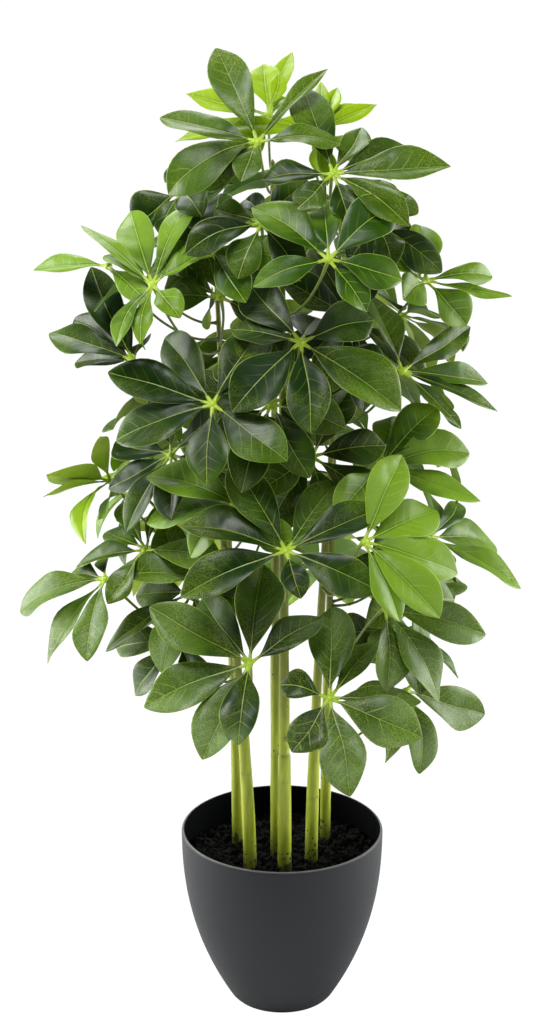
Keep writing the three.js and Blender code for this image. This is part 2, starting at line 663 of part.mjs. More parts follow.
// Where a leaflet points: its tip as noted in the front view, set back along the line of sight until it
// lies on the hub's plane, or as near to it as the shortest and the longest leaflet allow.
function tipInSpace(right, above, leaf, axis) {
  const pictureUp = new THREE.Vector3(0, Math.sin(FRONT_VIEW_DROP), Math.cos(FRONT_VIEW_DROP));
  const flat = new THREE.Vector3(right, 0, 0).addScaledVector(pictureUp, above);
  const eye = new THREE.Vector3(...FRONT_VIEW_EYE);
  const away = new THREE.Vector3(...leaf.hub).add(flat).sub(eye).normalize();
  const slant = away.dot(axis);
  const steep = Math.abs(slant) < LEAST_SLANT ? LEAST_SLANT * (Math.sign(slant) || 1) : slant;
  const level = (-LEAFLET_SAG * LONGEST_LEAFLET - flat.dot(axis)) / steep;
  const depthAt = (length) => Math.sqrt(Math.max(0, length ** 2 - flat.lengthSq()));
  const depth = THREE.MathUtils.clamp(Math.abs(level), depthAt(SHORTEST_LEAFLET), depthAt(LONGEST_LEAFLET));
  return flat.addScaledVector(away, level < 0 ? -depth : depth);
}

// Headings of the leaflets that fill the widest gaps between those already there.
function fillGaps(angles, count, random) {
  const all = [...angles];
  if (all.length === 0) {
    all.push(random() * 2 * Math.PI);
  }
  while (all.length < count) {
    all.sort((a, b) => a - b);
    let widest = 0;
    let best = 0;
    all.forEach((angle, i) => {
      const next = i + 1 < all.length ? all[i + 1] : all[0] + 2 * Math.PI;
      if (next - angle > widest) {
        widest = next - angle;
        best = angle + (next - angle) / 2;
      }
    });
    all.push(best % (2 * Math.PI));
  }
  return all.filter((angle) => !angles.includes(angle));
}

// The bends a leaflet may take to stay clear: lift and turn in degrees, and a share of its length.
const LEAFLET_TRIES = [
  [0, 0, 1], [10, 0, 1], [-10, 0, 1], [0, 7, 1], [0, -7, 1], [18, 0, 0.96], [-18, 0, 0.96],
  [12, 9, 0.95], [12, -9, 0.95], [-12, 9, 0.95], [-12, -9, 0.95],
  [0, 0, 0.85], [26, 0, 0.92], [-26, 0, 0.92],
  [20, 12, 0.88], [20, -12, 0.88], [-20, 12, 0.88], [-20, -12, 0.88], [34, 0, 0.85], [-34, 0, 0.85],
  [12, 0, 0.75], [-12, 0, 0.75], [30, 14, 0.78], [30, -14, 0.78], [-30, 14, 0.78], [-30, -14, 0.78],
];

function leafletPlans(leaf, rings, random) {
  const axis = facing(leaf.faces);
  const { side, across } = rings.at(-1);
  const plans = leaf.tips.map(([right, above, breadth = 1, noted]) => {
    const reach = tipInSpace(right, above, leaf, axis);
    const angle = Math.atan2(reach.dot(across), reach.dot(side));
    const chord = Math.max(reach.length(), SHORTEST_LEAFLET);
    const rise = Math.asin(THREE.MathUtils.clamp(reach.dot(axis) / reach.length(), -0.85, 0.75));
    return { angle, chord, rise, breadth, noted };
  });
  const filled = fillGaps(plans.map((plan) => plan.angle), leaf.count, random);
  filled.forEach((angle) => {
    const chord = between(FILL_LENGTH, random);
    const turned = angle + degrees(between(FILL_TURN, random));
    plans.push({ angle: turned, chord, rise: degrees(between(FILL_RISE, random)), breadth: 1 });
  });
  return plans;
}

function growLeaflets(leaf, rings, owner) {
  const random = seeded(owner + 1);
  const axis = facing(leaf.faces);
  const hub = new THREE.Vector3(...leaf.hub);
  const { side, across } = rings.at(-1);
  const grown = [];
  leafletPlans(leaf, rings, random).forEach(({ angle, chord, rise, breadth, noted }) => {
    const usualBend = between(BEND, random);
    const bend = degrees(noted ?? usualBend);
    const roll = degrees(between(ROLL, random));
    const fold = degrees(between(FOLD, random));
    const broad = breadth * between(BREADTH, random);
    for (const [lift, turn, scale] of LEAFLET_TRIES) {
      const turned = angle + degrees(turn);
      const length = scale * chord * (bend / 2) / Math.sin(bend / 2);
      const leaflet = {
        hub, axis, bend, roll, fold, length,
        angle: turned,
        heading: side.clone().multiplyScalar(Math.cos(turned)).addScaledVector(across, Math.sin(turned)),
        lift: rise + degrees(lift) + bend / 2,
        width: LEAFLET_WIDTH * broad * (leaf.slim ?? 1) * (0.5 + 0.5 * length / USUAL_LEAFLET),
      };
      const blade = leafletSolid(leaflet, CLEARANCE);
      const shank = leafletStalkSolid(leaflet, CLEARANCE);
      const clear = isClear(blade, (other) => other.owner !== owner || other.kind !== 'hub')
        && isClear(shank, (other) => other.owner !== owner);
      blade.delete();
      shank.delete();
      if (clear) {
        place(leafletSolid(leaflet, 0), owner, 'blade');
        place(leafletStalkSolid(leaflet, 0), owner, 'shank');
        grown.push(leaflet);
        break;
      }
    }
  });
  return grown;
}

// Corners round a hub: one between neighbouring leaflets, or two where they stand far apart.
function hubCorners(leaflets) {
  const wide = degrees(100);
  const beside = degrees(28);
  const corners = [];
  leaflets.forEach((leaflet, i) => {
    const next = i + 1 < leaflets.length ? leaflets[i + 1].angle : leaflets[0].angle + 2 * Math.PI;
    const space = next - leaflet.angle;
    if (space > wide) {
      corners.push({ angle: leaflet.angle + beside, opens: false });
      corners.push({ angle: next - beside, opens: true });
    } else {
      corners.push({ angle: leaflet.angle + space / 2, opens: true });
    }
  });
  return corners;
}

// A whole leaf as one skin: the stalk's rings, the hub's corners and a leaflet out of each side.
function leafSkin(leaf, rings, grown) {
  const skin = new Skin();
  const axis = facing(leaf.faces);
  const hub = new THREE.Vector3(...leaf.hub);
  const { side, across } = rings.at(-1);
  const turn = 2 * Math.PI;
  const leaflets = grown.map((leaflet) => ({ ...leaflet, angle: (leaflet.angle + 2 * turn) % turn }));
  leaflets.sort((a, b) => a.angle - b.angle);
  const stalk = rings.map((ring) => skin.ring(ring.points));
  stalk.slice(1).forEach((ring, i) => skin.band(stalk[i], ring));
  skin.backCap(stalk[0]);
  const corners = hubCorners(leaflets);
  const cornerRing = (height) => skin.ring(corners.map(({ angle }) => (
    hub.clone().addScaledVector(axis, height)
      .addScaledVector(side, HUB_RADIUS * Math.cos(angle))
      .addScaledVector(across, HUB_RADIUS * Math.sin(angle))
  )));
  const low = cornerRing(-HUB_HEIGHT / 2);
  const high = cornerRing(HUB_HEIGHT / 2);
  const stalkAngles = stalk[0].map((_, i) => 2 * Math.PI * i / STALK_SIDES);
  skin.bridge(stalk.at(-1), stalkAngles, low, corners.map(({ angle }) => angle));
  skin.fan(high, skin.add(hub.clone().addScaledVector(axis, HUB_HEIGHT / 2 + HUB_DOME)));
  let next = 0;
  corners.forEach((corner, i) => {
    const j = (i + 1) % corners.length;
    if (!corner.opens) {
      skin.faces.push([low[i], low[j], high[j]], [low[i], high[j], high[i]]);
      return;
    }
    next = (next + 1) % leaflets.length;
    const leaflet = leaflets[next];
    const opening = [low[j], high[j], high[i], low[i]];
    const bands = [opening, ...leafletRings(leaflet, 0).map((ring) => skin.ring(ring))];
    bands.slice(1).forEach((ring, k) => skin.band(bands[k], ring));
    skin.fan(bands.at(-1), skin.add(leafletTip(leaflet, 0)));
  });
  return skin;
}

// Colours of the moulded and natural surfaces
const FINISHES = {
  pot: { color: 0x3c3d3f, roughness: 0.6 },
  soil: { color: 0x1c1917, roughness: 1 },
  stem: { color: 0x7f8f3a, roughness: 0.6 },
  green: { color: 0x2f5a2a, roughness: 0.4 },
  lime: { color: 0x6f9a35, roughness: 0.4 },
};

const plant = new THREE.Group();

function addPiece(name, geometry, finish) {
  const material = new THREE.MeshStandardMaterial({ ...FINISHES[finish], metalness: 0 });
  const mesh = new THREE.Mesh(geometry, material);
  mesh.name = name;
  plant.add(mesh);
}

// Pot, soil and stems
addPiece('pot', potGeometry(), 'pot');
const soil = STEMS.reduce((rest, stem) => rest.subtract(stemSkin(stem, GAP).solid()), soilSkin().solid());
addPiece('soil', geometryOf(soil), 'soil');
STEMS.forEach((stem, i) => {
  const skin = stemSkin(stem, 0);
  addPiece(`stem_${i + 1}`, skin.geometry(), 'stem');
  place(skin.solid(), -1, 'stem');
});

// Leaves: every stalk is placed first, then the leaflets of each leaf in turn
const leaves = [...FRONT_LEAVES, ...backLeaves()];
const stalks = leaves.map((leaf, i) => growStalk(leaf, i));
leaves.forEach((leaf, i) => {
  if (!stalks[i]) {
    return;
  }
  const grown = growLeaflets(leaf, stalks[i], i);
  const number = String(i + 1).padStart(2, '0');
  addPiece(`leaf_${number}`, leafSkin(leaf, stalks[i], grown).geometry(), leaf.lime ? 'lime' : 'green');
});

export default plant;
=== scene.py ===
# %% [markdown]
# # Potted umbrella plant
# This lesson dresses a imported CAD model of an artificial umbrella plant, so that it looks like the real one.
# The CAD model gives every place and size: pot, soil, six stems and the leaves. Here each of them gets a
# finer surface and a material of its own, and nothing is moved.

# %% Load the CAD model as a fixed frame
import json
import math

import bpy
import numpy as np
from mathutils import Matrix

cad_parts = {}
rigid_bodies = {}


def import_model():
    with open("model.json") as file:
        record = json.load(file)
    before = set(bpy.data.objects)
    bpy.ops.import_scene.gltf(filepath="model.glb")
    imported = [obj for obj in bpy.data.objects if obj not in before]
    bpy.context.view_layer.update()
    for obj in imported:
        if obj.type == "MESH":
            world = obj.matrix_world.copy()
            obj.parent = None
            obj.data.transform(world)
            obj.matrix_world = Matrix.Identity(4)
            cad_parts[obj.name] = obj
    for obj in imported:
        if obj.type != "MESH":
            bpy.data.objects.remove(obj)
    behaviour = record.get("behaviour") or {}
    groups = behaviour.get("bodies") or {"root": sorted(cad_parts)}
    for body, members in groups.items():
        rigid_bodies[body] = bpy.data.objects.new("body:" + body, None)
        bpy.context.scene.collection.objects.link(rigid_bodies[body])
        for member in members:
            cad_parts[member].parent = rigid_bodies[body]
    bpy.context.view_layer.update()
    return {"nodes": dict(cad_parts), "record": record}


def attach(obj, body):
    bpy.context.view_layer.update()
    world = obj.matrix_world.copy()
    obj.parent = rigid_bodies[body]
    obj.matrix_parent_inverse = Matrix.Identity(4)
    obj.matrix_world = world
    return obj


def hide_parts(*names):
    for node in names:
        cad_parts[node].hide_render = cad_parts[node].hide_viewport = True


for leftover in list(bpy.data.objects):
    bpy.data.objects.remove(leftover)
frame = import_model()
leaf_nodes = sorted(name for name in frame["nodes"] if name.startswith("leaf_"))
stem_nodes = sorted(name for name in frame["nodes"] if name.startswith("stem_"))
slot_of = {part["node"]: part["material_slot"] for part in frame["record"]["subparts"]}

# %% [markdown]
# ## Camera
# The photograph looks slightly down on the plant from a good two metres away. Matching the pot's rim
# ellipse and the plant's height against the picture gives the height, the tilt and the focal length.

# %% Camera at the photograph's place
MM = 0.001
PICTURE_HEIGHT_PX = 1024
FOCAL_PX = 2682
SENSOR_MM = 36
EYE_MM = np.array([-12, -2224, 1251])
TILT_DEGREES = 19.28
camera_data = bpy.data.cameras.new("camera")
camera_data.sensor_fit = "AUTO"
camera_data.sensor_width = SENSOR_MM
camera_data.lens = FOCAL_PX * SENSOR_MM / PICTURE_HEIGHT_PX
camera = bpy.data.objects.new("camera", camera_data)
camera.location = EYE_MM * MM
camera.rotation_euler = (math.radians(90 - TILT_DEGREES), 0, 0)
bpy.context.scene.collection.objects.link(camera)
bpy.context.scene.camera = camera
print("lens in mm:", round(camera_data.lens, 1))

# %% [markdown]
# ## Helpers for colours and nodes
# Colours are picked as sRGB hex values, as a paint chart gives them. Blender's shaders count in linear
# light, so one function turns them. One more adds a node, with its settings, values and links, and one lays
# colours over each other like coats of paint. Kinds of nodes that every material uses get short names first.

# %% Colour and node helpers
ATTRIBUTE = "ShaderNodeAttribute"
BUMP = "ShaderNodeBump"
MAP_RANGE = "ShaderNodeMapRange"
MATH = "ShaderNodeMath"
MIX = "ShaderNodeMix"
NOISE = "ShaderNodeTexNoise"
PRINCIPLED = "ShaderNodeBsdfPrincipled"
SMOOTH = {"interpolation_type": "SMOOTHSTEP"}

# Sockets of a colour mix: its factor, its two colours A and B, and its result
FACTOR = 0
A = 6
B = 7
MIXED = 2


def linear(hex_colour):
    """sRGB to linear light: c / 12.92 below 0.04045, and ((c + 0.055) / 1.055) ** 2.4 above it."""
    srgb = np.array([int(hex_colour[i : i + 2], 16) for i in (1, 3, 5)]) / 255
    light = np.where(srgb <= 0.04045, srgb / 12.92, ((srgb + 0.055) / 1.055) ** 2.4)
    return (*light.tolist(), 1.0)


def add_node(tree, kind, values=None, links=None, **settings):
    """Adds a node of a kind: settings are its own properties, values go on its sockets, and links join it."""
    node = tree.nodes.new(kind)
    for name, value in settings.items():
        setattr(node, name, value)
    for socket, value in (values or {}).items():
        node.inputs[socket].default_value = value
    for socket, source in (links or {}).items():
        tree.links.new(source, node.inputs[socket])
    return node


def painted(tree, colour, *coats):
    """Lays coats over a colour, one after another. A coat is a hex colour and how much of it shows."""
    for tint, share in coats:
        over = {FACTOR: share, A: colour}
        colour = add_node(tree, MIX, {B: linear(tint)}, over, data_type="RGBA").outputs[MIXED]
    return colour


def new_material(name):
    """An empty node tree with its output: returns the material, the tree and the output node."""
    material = bpy.data.materials.new(name)
    material.use_nodes = True
    material.node_tree.nodes.clear()
    output = add_node(material.node_tree, "ShaderNodeOutputMaterial")
    return material, material.node_tree, output


# %% [markdown]
# ## Helpers for surfaces
# Every piece here is a skin stretched over a stack of closed rings, like the hoops of a wicker basket.
# The rings are worked out as whole numpy arrays. The skin is closed with a fan of triangles at each end,
# so that it is a solid whose faces all look outwards.

# %% Skins over rings


def closed_skin(rings, start, end, **fields):
    """Quads between neighbouring rings, and a fan at each end point.

    rings has the shape (rings, points, 3), and each ring turns right-handed about the way they are
    stacked. Each field is one number a point, of the shape (rings, points), and its mean closes the ends.
    """
    count, around = rings.shape[:2]
    here = np.arange(around)
    there = (here + 1) % around
    rows = np.arange(count - 1)[:, None] * around
    quads = np.stack([rows + here, rows + there, rows + around + there, rows + around + here], axis=-1)
    first, last = count * around, count * around + 1
    top = (count - 1) * around
    back = np.stack([there, here, np.full(around, first)], axis=-1)
    front = np.stack([top + here, top + there, np.full(around, last)], axis=-1)
    points = np.vstack([rings.reshape(-1, 3), start, end])
    values = {}
    for name, field in fields.items():
        values[name] = np.append(field.ravel(), [field[0].mean(), field[-1].mean()])
    return {"points": points, "quads": quads.reshape(-1, 4), "triangles": np.vstack([back, front]), **values}


def make_piece(name, skins, material, fields=()):
    """Joins skins into one object: each skin's faces move up by the number of points before it."""
    offsets = np.cumsum([0] + [len(skin["points"]) for skin in skins[:-1]])
    points = np.vstack([skin["points"] for skin in skins])
    quads = np.vstack([skin["quads"] + offset for skin, offset in zip(skins, offsets)])
    triangles = np.vstack([skin["triangles"] + offset for skin, offset in zip(skins, offsets)])
    mesh = bpy.data.meshes.new(name)
    mesh.from_pydata(points, [], quads.tolist() + triangles.tolist())
    mesh.polygons.foreach_set("use_smooth", np.ones(len(mesh.polygons), bool))
    for field in fields:
        attribute = mesh.attributes.new(field, "FLOAT", "POINT")
        values = np.concatenate([skin[field] for skin in skins])
        attribute.data.foreach_set("value", values.astype(np.float32))
    mesh.materials.append(material)
    piece = bpy.data.objects.new(name, mesh)
    bpy.context.scene.collection.objects.link(piece)
    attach(piece, "root")
    return piece


def unit(vectors):
    """Each vector divided by its length."""
    return vectors / np.linalg.norm(vectors, axis=-1, keepdims=True)


def smooth_path(points, knots, where):
    """A smooth curve through points given at knots, worked out at where.

    Between two knots it is the cubic Hermite curve whose slopes are those of the line between neighbours.
    """
    slopes = np.gradient(points, knots, axis=0)
    span = np.clip(np.searchsorted(knots, where, side="right") - 1, 0, len(knots) - 2)
    width = (knots[span + 1] - knots[span])[:, None]
    t = (where - knots[span])[:, None] / width
    start, end = points[span], points[span + 1]
    leaving, arriving = slopes[span] * width, slopes[span + 1] * width
    curve = (2 * t**3 - 3 * t**2 + 1) * start + (3 * t**2 - 2 * t**3) * end
    return curve + (t**3 - 2 * t**2 + t) * leaving + (t**3 - t**2) * arriving


def tube_rings(path, side, width, depth, around):
    """Ellipses across a path: middle + side * width * cos(a) + (along x side) * depth * sin(a)."""
    along = unit(np.gradient(path, axis=0))
    side = unit(side - (side * along).sum(1, keepdims=True) * along)
    across = np.cross(along, side)
    angle = np.linspace(0, 2 * math.pi, around, endpoint=False)[None, :, None]
    wide = side[:, None] * np.asarray(width)[:, None, None] * np.cos(angle)
    deep = across[:, None] * np.asarray(depth)[:, None, None] * np.sin(angle)
    return path[:, None] + wide + deep


# %% [markdown]
# ## Reading a leaf from the CAD model
# In the CAD model an umbrella leaf is one net of triangles: a stalk of five four-cornered rings, a hub, and
# leaflets of three or four rings each with a tip. Walking the net outwards from a tip, ring by ring, finds
# every leaflet again. So the fine leaflets grow exactly where the CAD model has them.

# %% The net of a CAD node
SMALLEST_RING = 6 * MM
WIDEST_BASE = 4.2 * MM
LEAFLET_REACH = 7
STALK_REACH = 8


def merged_net(name):
    """A node's loose triangles joined where corners meet: the points, and which points are neighbours."""
    mesh = frame["nodes"][name].data
    corners = np.empty(len(mesh.vertices) * 3)
    mesh.vertices.foreach_get("co", corners)
    faces = np.empty(len(mesh.polygons) * 3, int)
    mesh.polygons.foreach_get("vertices", faces)
    points, index = np.unique(corners.reshape(-1, 3).round(6), axis=0, return_inverse=True)
    faces = index.ravel()[faces.reshape(-1, 3)]
    joined = np.zeros((len(points), len(points)), bool)
    for a, b in ((0, 1), (1, 2), (2, 0)):
        joined[faces[:, a], faces[:, b]] = True
    return points, joined | joined.T


def walk_rings(joined, seed, taken, limit):
    """Rings of points outwards from a seed: each ring is all the free neighbours of the one before."""
    reached = taken.copy()
    reached[seed] = True
    rings = [seed]
    while len(rings) <= limit:
        ring = np.flatnonzero(joined[rings[-1]].any(0) & ~reached)
        if len(ring) == 0:
            break
        reached[ring] = True
        rings.append(ring)
    return rings


def read_leaf(name):
    """Finds a leaf's leaflets, hub and stalk.

    A tip has four neighbours, in a ring at least 6 mm across, and nothing of the leaf lies further out. A
    leaflet's base is its first ring under 4.2 mm across.
    The rings after it have four points each: the blade's, the blade's base, and the hub's four corners.
    """
    points, joined = merged_net(name)
    leaflets, used, corners = [], np.zeros(len(points), bool), set()
    for tip in np.flatnonzero(joined.sum(0) == 4):
        ring = points[joined[tip]]
        apart = np.linalg.norm(ring[:, None] - ring[None], axis=-1)
        rings = walk_rings(joined, np.array([tip]), np.zeros(len(points), bool), LEAFLET_REACH)
        if apart.max() < SMALLEST_RING or any(len(r) != 4 for r in rings[1:4]):
            continue
        spans = [np.linalg.norm(np.ptp(points[r], axis=0)) for r in rings]
        base = next((i for i in range(2, len(rings)) if spans[i] < WIDEST_BASE), None)
        if base is None or base > 4 or any(len(r) != 4 for r in rings[1 : base + 2]):
            continue
        leaflets.append([points[r] for r in rings[: base + 1]])
        used[np.concatenate(rings[: base + 2])] = True
        corners.update(rings[base + 1].tolist())
    corners = np.array(sorted(corners))
    hub = points[corners].mean(0)
    outer = walk_rings(joined, corners, used, STALK_REACH)[1:]
    apex = next(i for i in outer[0] if not (joined[i] & ~used).any())
    axis = unit(points[apex] - hub)
    stalk = [points[np.setdiff1d(ring, [apex])] for ring in outer]
    return {"hub": hub, "axis": axis, "leaflets": leaflets, "stalk": stalk[::-1]}


leaves = {name: read_leaf(name) for name in leaf_nodes}
print("leaflets found:", sum(len(leaf["leaflets"]) for leaf in leaves.values()))

# %% [markdown]
# ## The shape of one leaflet
# A real leaflet is a thin moulded sheet: narrow at its base, widest past its middle, with a short blunt
# point. Its halves rise from the midrib like an open book and arch over towards the margin, and the margin
# waves a little. A surface of two parameters gives all of that: how far along the rib, and how far across.

# %% Outline and rings of a leaflet
STATIONS = 20
ACROSS = np.array([0.035, 0.09, 0.2, 0.35, 0.52, 0.7, 0.86, 0.97, 1])
BLADE_HALF_THICKNESS = 0.26 * MM
BASE_HALF_WIDTH = 1.15 * MM
BASE_SHIFT = 0.33

# The most that chance bends, rolls, twists and waves a leaflet
SIDE_BEND = 2.5 * MM
BOW = 3 * MM
NOD = 4 * MM
ROLL = 0.3
TWIST = 0.4
UNEVENNESS = 0.12
LEAN = 0.45
FOLD_SHARES = (0.6, 1.5)
SWINGS = np.array([1.0, 3.2]) * MM
WAVE_COUNTS = (0.9, 1.7)
RIB_HEIGHT = 0.3 * MM
RIB_REACH = 0.8 * MM


def outline(share, young):
    """Width of a blade as a share of its widest, from base 0 to tip 1: sin(pi * share^skew)^roundness."""
    skew, roundness = (1.1, 1.15) if young else (1.3, 0.82)
    return np.sin(math.pi * np.clip(share, 0, 1) ** skew) ** roundness


def read_leaflet(rings, hub, young):
    """From the CAD rings: the middle line, the way to the right at each ring, the widest width and the fold.

    The blade starts a third of the way back from its CAD base to the hub, under the strap that carries it.
    """
    middles, sides, folds = [], [], []
    for ring in rings[::-1][:-1]:
        apart = np.linalg.norm(ring[:, None] - ring[None], axis=-1)
        i, j = np.unravel_index(apart.argmax(), apart.shape)
        rib = np.delete(ring, [i, j], axis=0).mean(0)
        middles.append(rib)
        sides.append(ring[j] - ring[i])
        folds.append((ring[i] + ring[j]) / 2 - rib)
    middles.append(rings[0][0])
    middles, sides, folds = np.array(middles), np.array(sides), np.array(folds)
    middles[0] += (hub - middles[0]) * BASE_SHIFT
    along = np.diff(middles, axis=0)
    upright = np.cross(folds[1:], (along[:-1] + along[1:]) / 2)
    sides[1:] *= np.sign((sides[1:] * upright).sum(1))[:, None]
    sides[0] *= np.sign(sides[0] @ sides[1])
    knots = np.append(0, np.cumsum(np.linalg.norm(along, axis=1)))
    length = knots[-1]
    knots = knots / length
    widths = np.linalg.norm(sides, axis=1)
    width = (widths[1:] / outline(knots[1:-1], young)).mean()
    fold = (2 * np.linalg.norm(folds[1:], axis=1) / widths[1:]).mean()
    shape = {"length": length, "width": width, "fold": fold, "young": young}
    return {"middles": middles, "sides": unit(sides), "knots": knots, **shape}


def leaflet_skin(leaflet, random, tone):
    """A leaflet's closed skin: middle(s) + right(s) * x + up(s) * height(s, v), with x = v * width(s) / 2.

    The middle bends up to 2.5 mm to one side, bows up to 3 mm and nods up to 4 mm at its tip. The blade rolls
    up to 0.3 radians and twists up to 0.4 more by its tip. One half is up to 12% wider than it would be, and
    the other as much narrower. The height is fold * |x| * (1.7 - 0.7 v^2), for the two arched halves, plus a
    wave that grows with v^2, plus half the blade's thickness above and below, plus a narrow rib at v = 0.
    Young leaflets roll and wave half as much.
    """
    share = 0.5 - 0.5 * np.cos(math.pi * np.arange(STATIONS) / STATIONS)
    middle = smooth_path(leaflet["middles"], leaflet["knots"], share)
    sides = np.vstack([leaflet["sides"], leaflet["sides"][-1]])
    right = smooth_path(sides, leaflet["knots"], share)
    along = unit(np.gradient(middle, axis=0))
    right = unit(right - (right * along).sum(1, keepdims=True) * along)
    up = np.cross(along, right)
    calm = 0.5 if leaflet["young"] else 1.0
    bow = random.uniform(-BOW, BOW) * np.sin(math.pi * share)
    nod = random.uniform(0, NOD)
    middle = middle + up * (bow - nod * share**3)[:, None]
    tip = leaflet["middles"][-1] - up[-1] * nod
    roll = random.uniform(-ROLL, ROLL) * share**0.5
    twist = random.uniform(-TWIST, TWIST) * share**2
    turn = (roll + twist)[:, None] * calm
    right, up = right * np.cos(turn) + up * np.sin(turn), up * np.cos(turn) - right * np.sin(turn)
    blade = 0.5 * leaflet["width"] * outline(share, leaflet["young"])
    half = (blade**3 + (BASE_HALF_WIDTH * (1 - share) ** 2) ** 3) ** (1 / 3)
    bend = random.uniform(-SIDE_BEND, SIDE_BEND) * np.sin(math.pi * share) ** 2
    middle = middle + right * bend[:, None]
    over = np.concatenate([ACROSS[::-1], [0], -ACROSS])
    v = np.concatenate([over, -ACROSS[:-1][::-1], [0], ACROSS[:-1]])
    above = np.where(np.arange(len(v)) < len(over), 1.0, -1.0)
    uneven = 1 + UNEVENNESS * random.uniform(-1, 1) * np.sign(v)
    x = half[:, None] * v * uneven
    lean = 1 + LEAN * random.uniform(-1, 1) * np.sign(v)
    fold = leaflet["fold"] * random.uniform(*FOLD_SHARES)
    arch = fold * lean * np.abs(x) * (1.7 - 0.7 * v**2)
    phase = random.uniform(0, 2 * math.pi, 2)[(v > 0).astype(int)]
    swing = random.uniform(*SWINGS) * calm * np.sin(math.pi * share)[:, None] ** 0.7
    wave = swing * v**2 * np.sin(2 * math.pi * random.uniform(*WAVE_COUNTS) * share[:, None] + phase)
    rib = RIB_HEIGHT * np.exp(-((x / RIB_REACH) ** 2)) * (1 - share[:, None])
    body = BLADE_HALF_THICKNESS * (1 - np.abs(v) ** 8) + rib
    height = arch + wave + above * body
    rings = middle[:, None] + right[:, None] * x[:, :, None] + up[:, None] * height[:, :, None]
    return closed_skin(
        rings,
        middle[0],
        tip,
        across=x / MM,
        along=np.broadcast_to(share[:, None] * leaflet["length"] / MM, x.shape),
        margin=np.broadcast_to(np.abs(v), x.shape),
        underside=np.broadcast_to((above < 0).astype(float), x.shape),
        tone=np.full(x.shape, tone),
    )


# %% [markdown]
# ## Stalk, hub and leaflet stalks
# On the real plant these are one soft plastic moulding: a wire-thin stalk that ends in a knob, from which
# short flat straps run out to the leaflets. Tubes carried along smooth paths make them, and a turned profile
# makes the knob. The stalk starts just inside the stem, so that no gap shows.

# %% Rings of the stalk parts
STALK_ROWS = 30
STALK_SIDES = 10
HUB_SIDES = 12
STRAP_SIDES = 8
STALK_IN_STEM = 1.5 * MM
STALK_HALF_WIDTHS = np.array([2.2, 1.35, 1.15, 1.1, 1.15, 1.7]) * MM
HUB_PROFILE = np.array([(1.7, -3.3), (2.9, -2.2), (3.5, -0.6), (3.3, 0.9), (2.3, 1.9), (1.0, 2.4)]) * MM
STRAP_HALF_WIDTHS = np.array([2.3, 2.1, 1.8, 1.6, 1.5, 1.4, 1.1, 0.5]) * MM
STRAP_HALF_DEPTHS = np.array([1.3, 1.1, 0.9, 0.8, 0.75, 0.7, 0.55, 0.3]) * MM


def stalk_skin(leaf):
    """A round tube through the middles of the CAD stalk's rings, thicker at its foot and under the hub.

    It starts 1.5 mm inside the stem. young grows with the cube of the way up, to 0.8 at the hub.
    """
    middles = np.array([ring.mean(0) for ring in leaf["stalk"]])
    foot = middles[0] - unit(middles[1] - middles[0]) * STALK_IN_STEM
    middles = np.vstack([foot, middles])
    knots = np.append(0, np.cumsum(np.linalg.norm(np.diff(middles, axis=0), axis=1)))
    where = np.linspace(0, knots[-1], STALK_ROWS)
    path = smooth_path(middles, knots, where)
    radius = np.interp(where, knots, STALK_HALF_WIDTHS)
    side = np.cross(middles[-1] - middles[0], (0, 0, 1))
    rings = tube_rings(path, np.broadcast_to(side, path.shape), radius, radius, STALK_SIDES)
    young = np.broadcast_to(np.linspace(0, 1, STALK_ROWS)[:, None] ** 3 * 0.8, rings.shape[:2])
    return closed_skin(rings, path[0], path[-1], young=young)


def hub_skin(leaf):
    """A profile of (radius, height) turned round the axis: hub + radius * (cos a, sin a) + height * axis."""
    axis = leaf["axis"]
    side = unit(np.cross(axis, (0.3, 0.9, 0.1)))
    across = np.cross(axis, side)
    angle = np.linspace(0, 2 * math.pi, HUB_SIDES, endpoint=False)[None, :, None]
    circle = side * np.cos(angle) + across * np.sin(angle)
    radius, height = HUB_PROFILE[:, 0, None, None], HUB_PROFILE[:, 1, None, None]
    rings = leaf["hub"] + radius * circle + height * axis
    ends = leaf["hub"] + np.array([[-3.6], [2.5]]) * MM * axis
    return closed_skin(rings, ends[0], ends[1], young=np.ones(rings.shape[:2]))


def strap_skin(leaf, leaflet):
    """A flat tube from inside the hub to 4 mm up the blade's underside, brightest at the hub."""
    base, ahead = leaflet["middles"][0], unit(leaflet["middles"][1] - leaflet["middles"][0])
    outward = unit(base - leaf["hub"])
    hub = leaf["hub"]
    points = np.array([hub + outward * 1.5 * MM, (hub + base) / 2, base, base + ahead * 4 * MM])
    knots = np.append(0, np.cumsum(np.linalg.norm(np.diff(points, axis=0), axis=1)))
    path = smooth_path(points, knots, np.linspace(0, knots[-1], len(STRAP_HALF_WIDTHS)))
    side = np.broadcast_to(leaflet["sides"][0], path.shape)
    rings = tube_rings(path, side, STRAP_HALF_WIDTHS, STRAP_HALF_DEPTHS, STRAP_SIDES)
    young = np.broadcast_to(np.linspace(1, 0.8, len(path))[:, None], rings.shape[:2])
    return closed_skin(rings, path[0], path[-1], young=young)


# %% [markdown]
# ## Finish of the leaves
# Artificial leaves like these are moulded polyethylene over a printed fabric. That gives them a satin shine,
# and their veins are printed and pressed in. The print is a dark, fresh or lime green, cloudy and paler
# towards the tip, with a fine pale speckle, a thin yellow-green midrib with painted shade in the furrow beside
# it, faint side veins 10 mm apart and a pale cut edge. Leaves in the middle of the crown get painted shade and
# are duller, and the lowest ones get a painted pale sheen, the white floor's reflection. Each pattern reads
# how far a point is along and across its own leaflet, in millimetres, so that it follows every bend. A noise's
# scale is one over the size of its patches.

# %% What the leaf's patterns read
LEAF_FIELDS = ("across", "along", "margin", "underside", "tone")


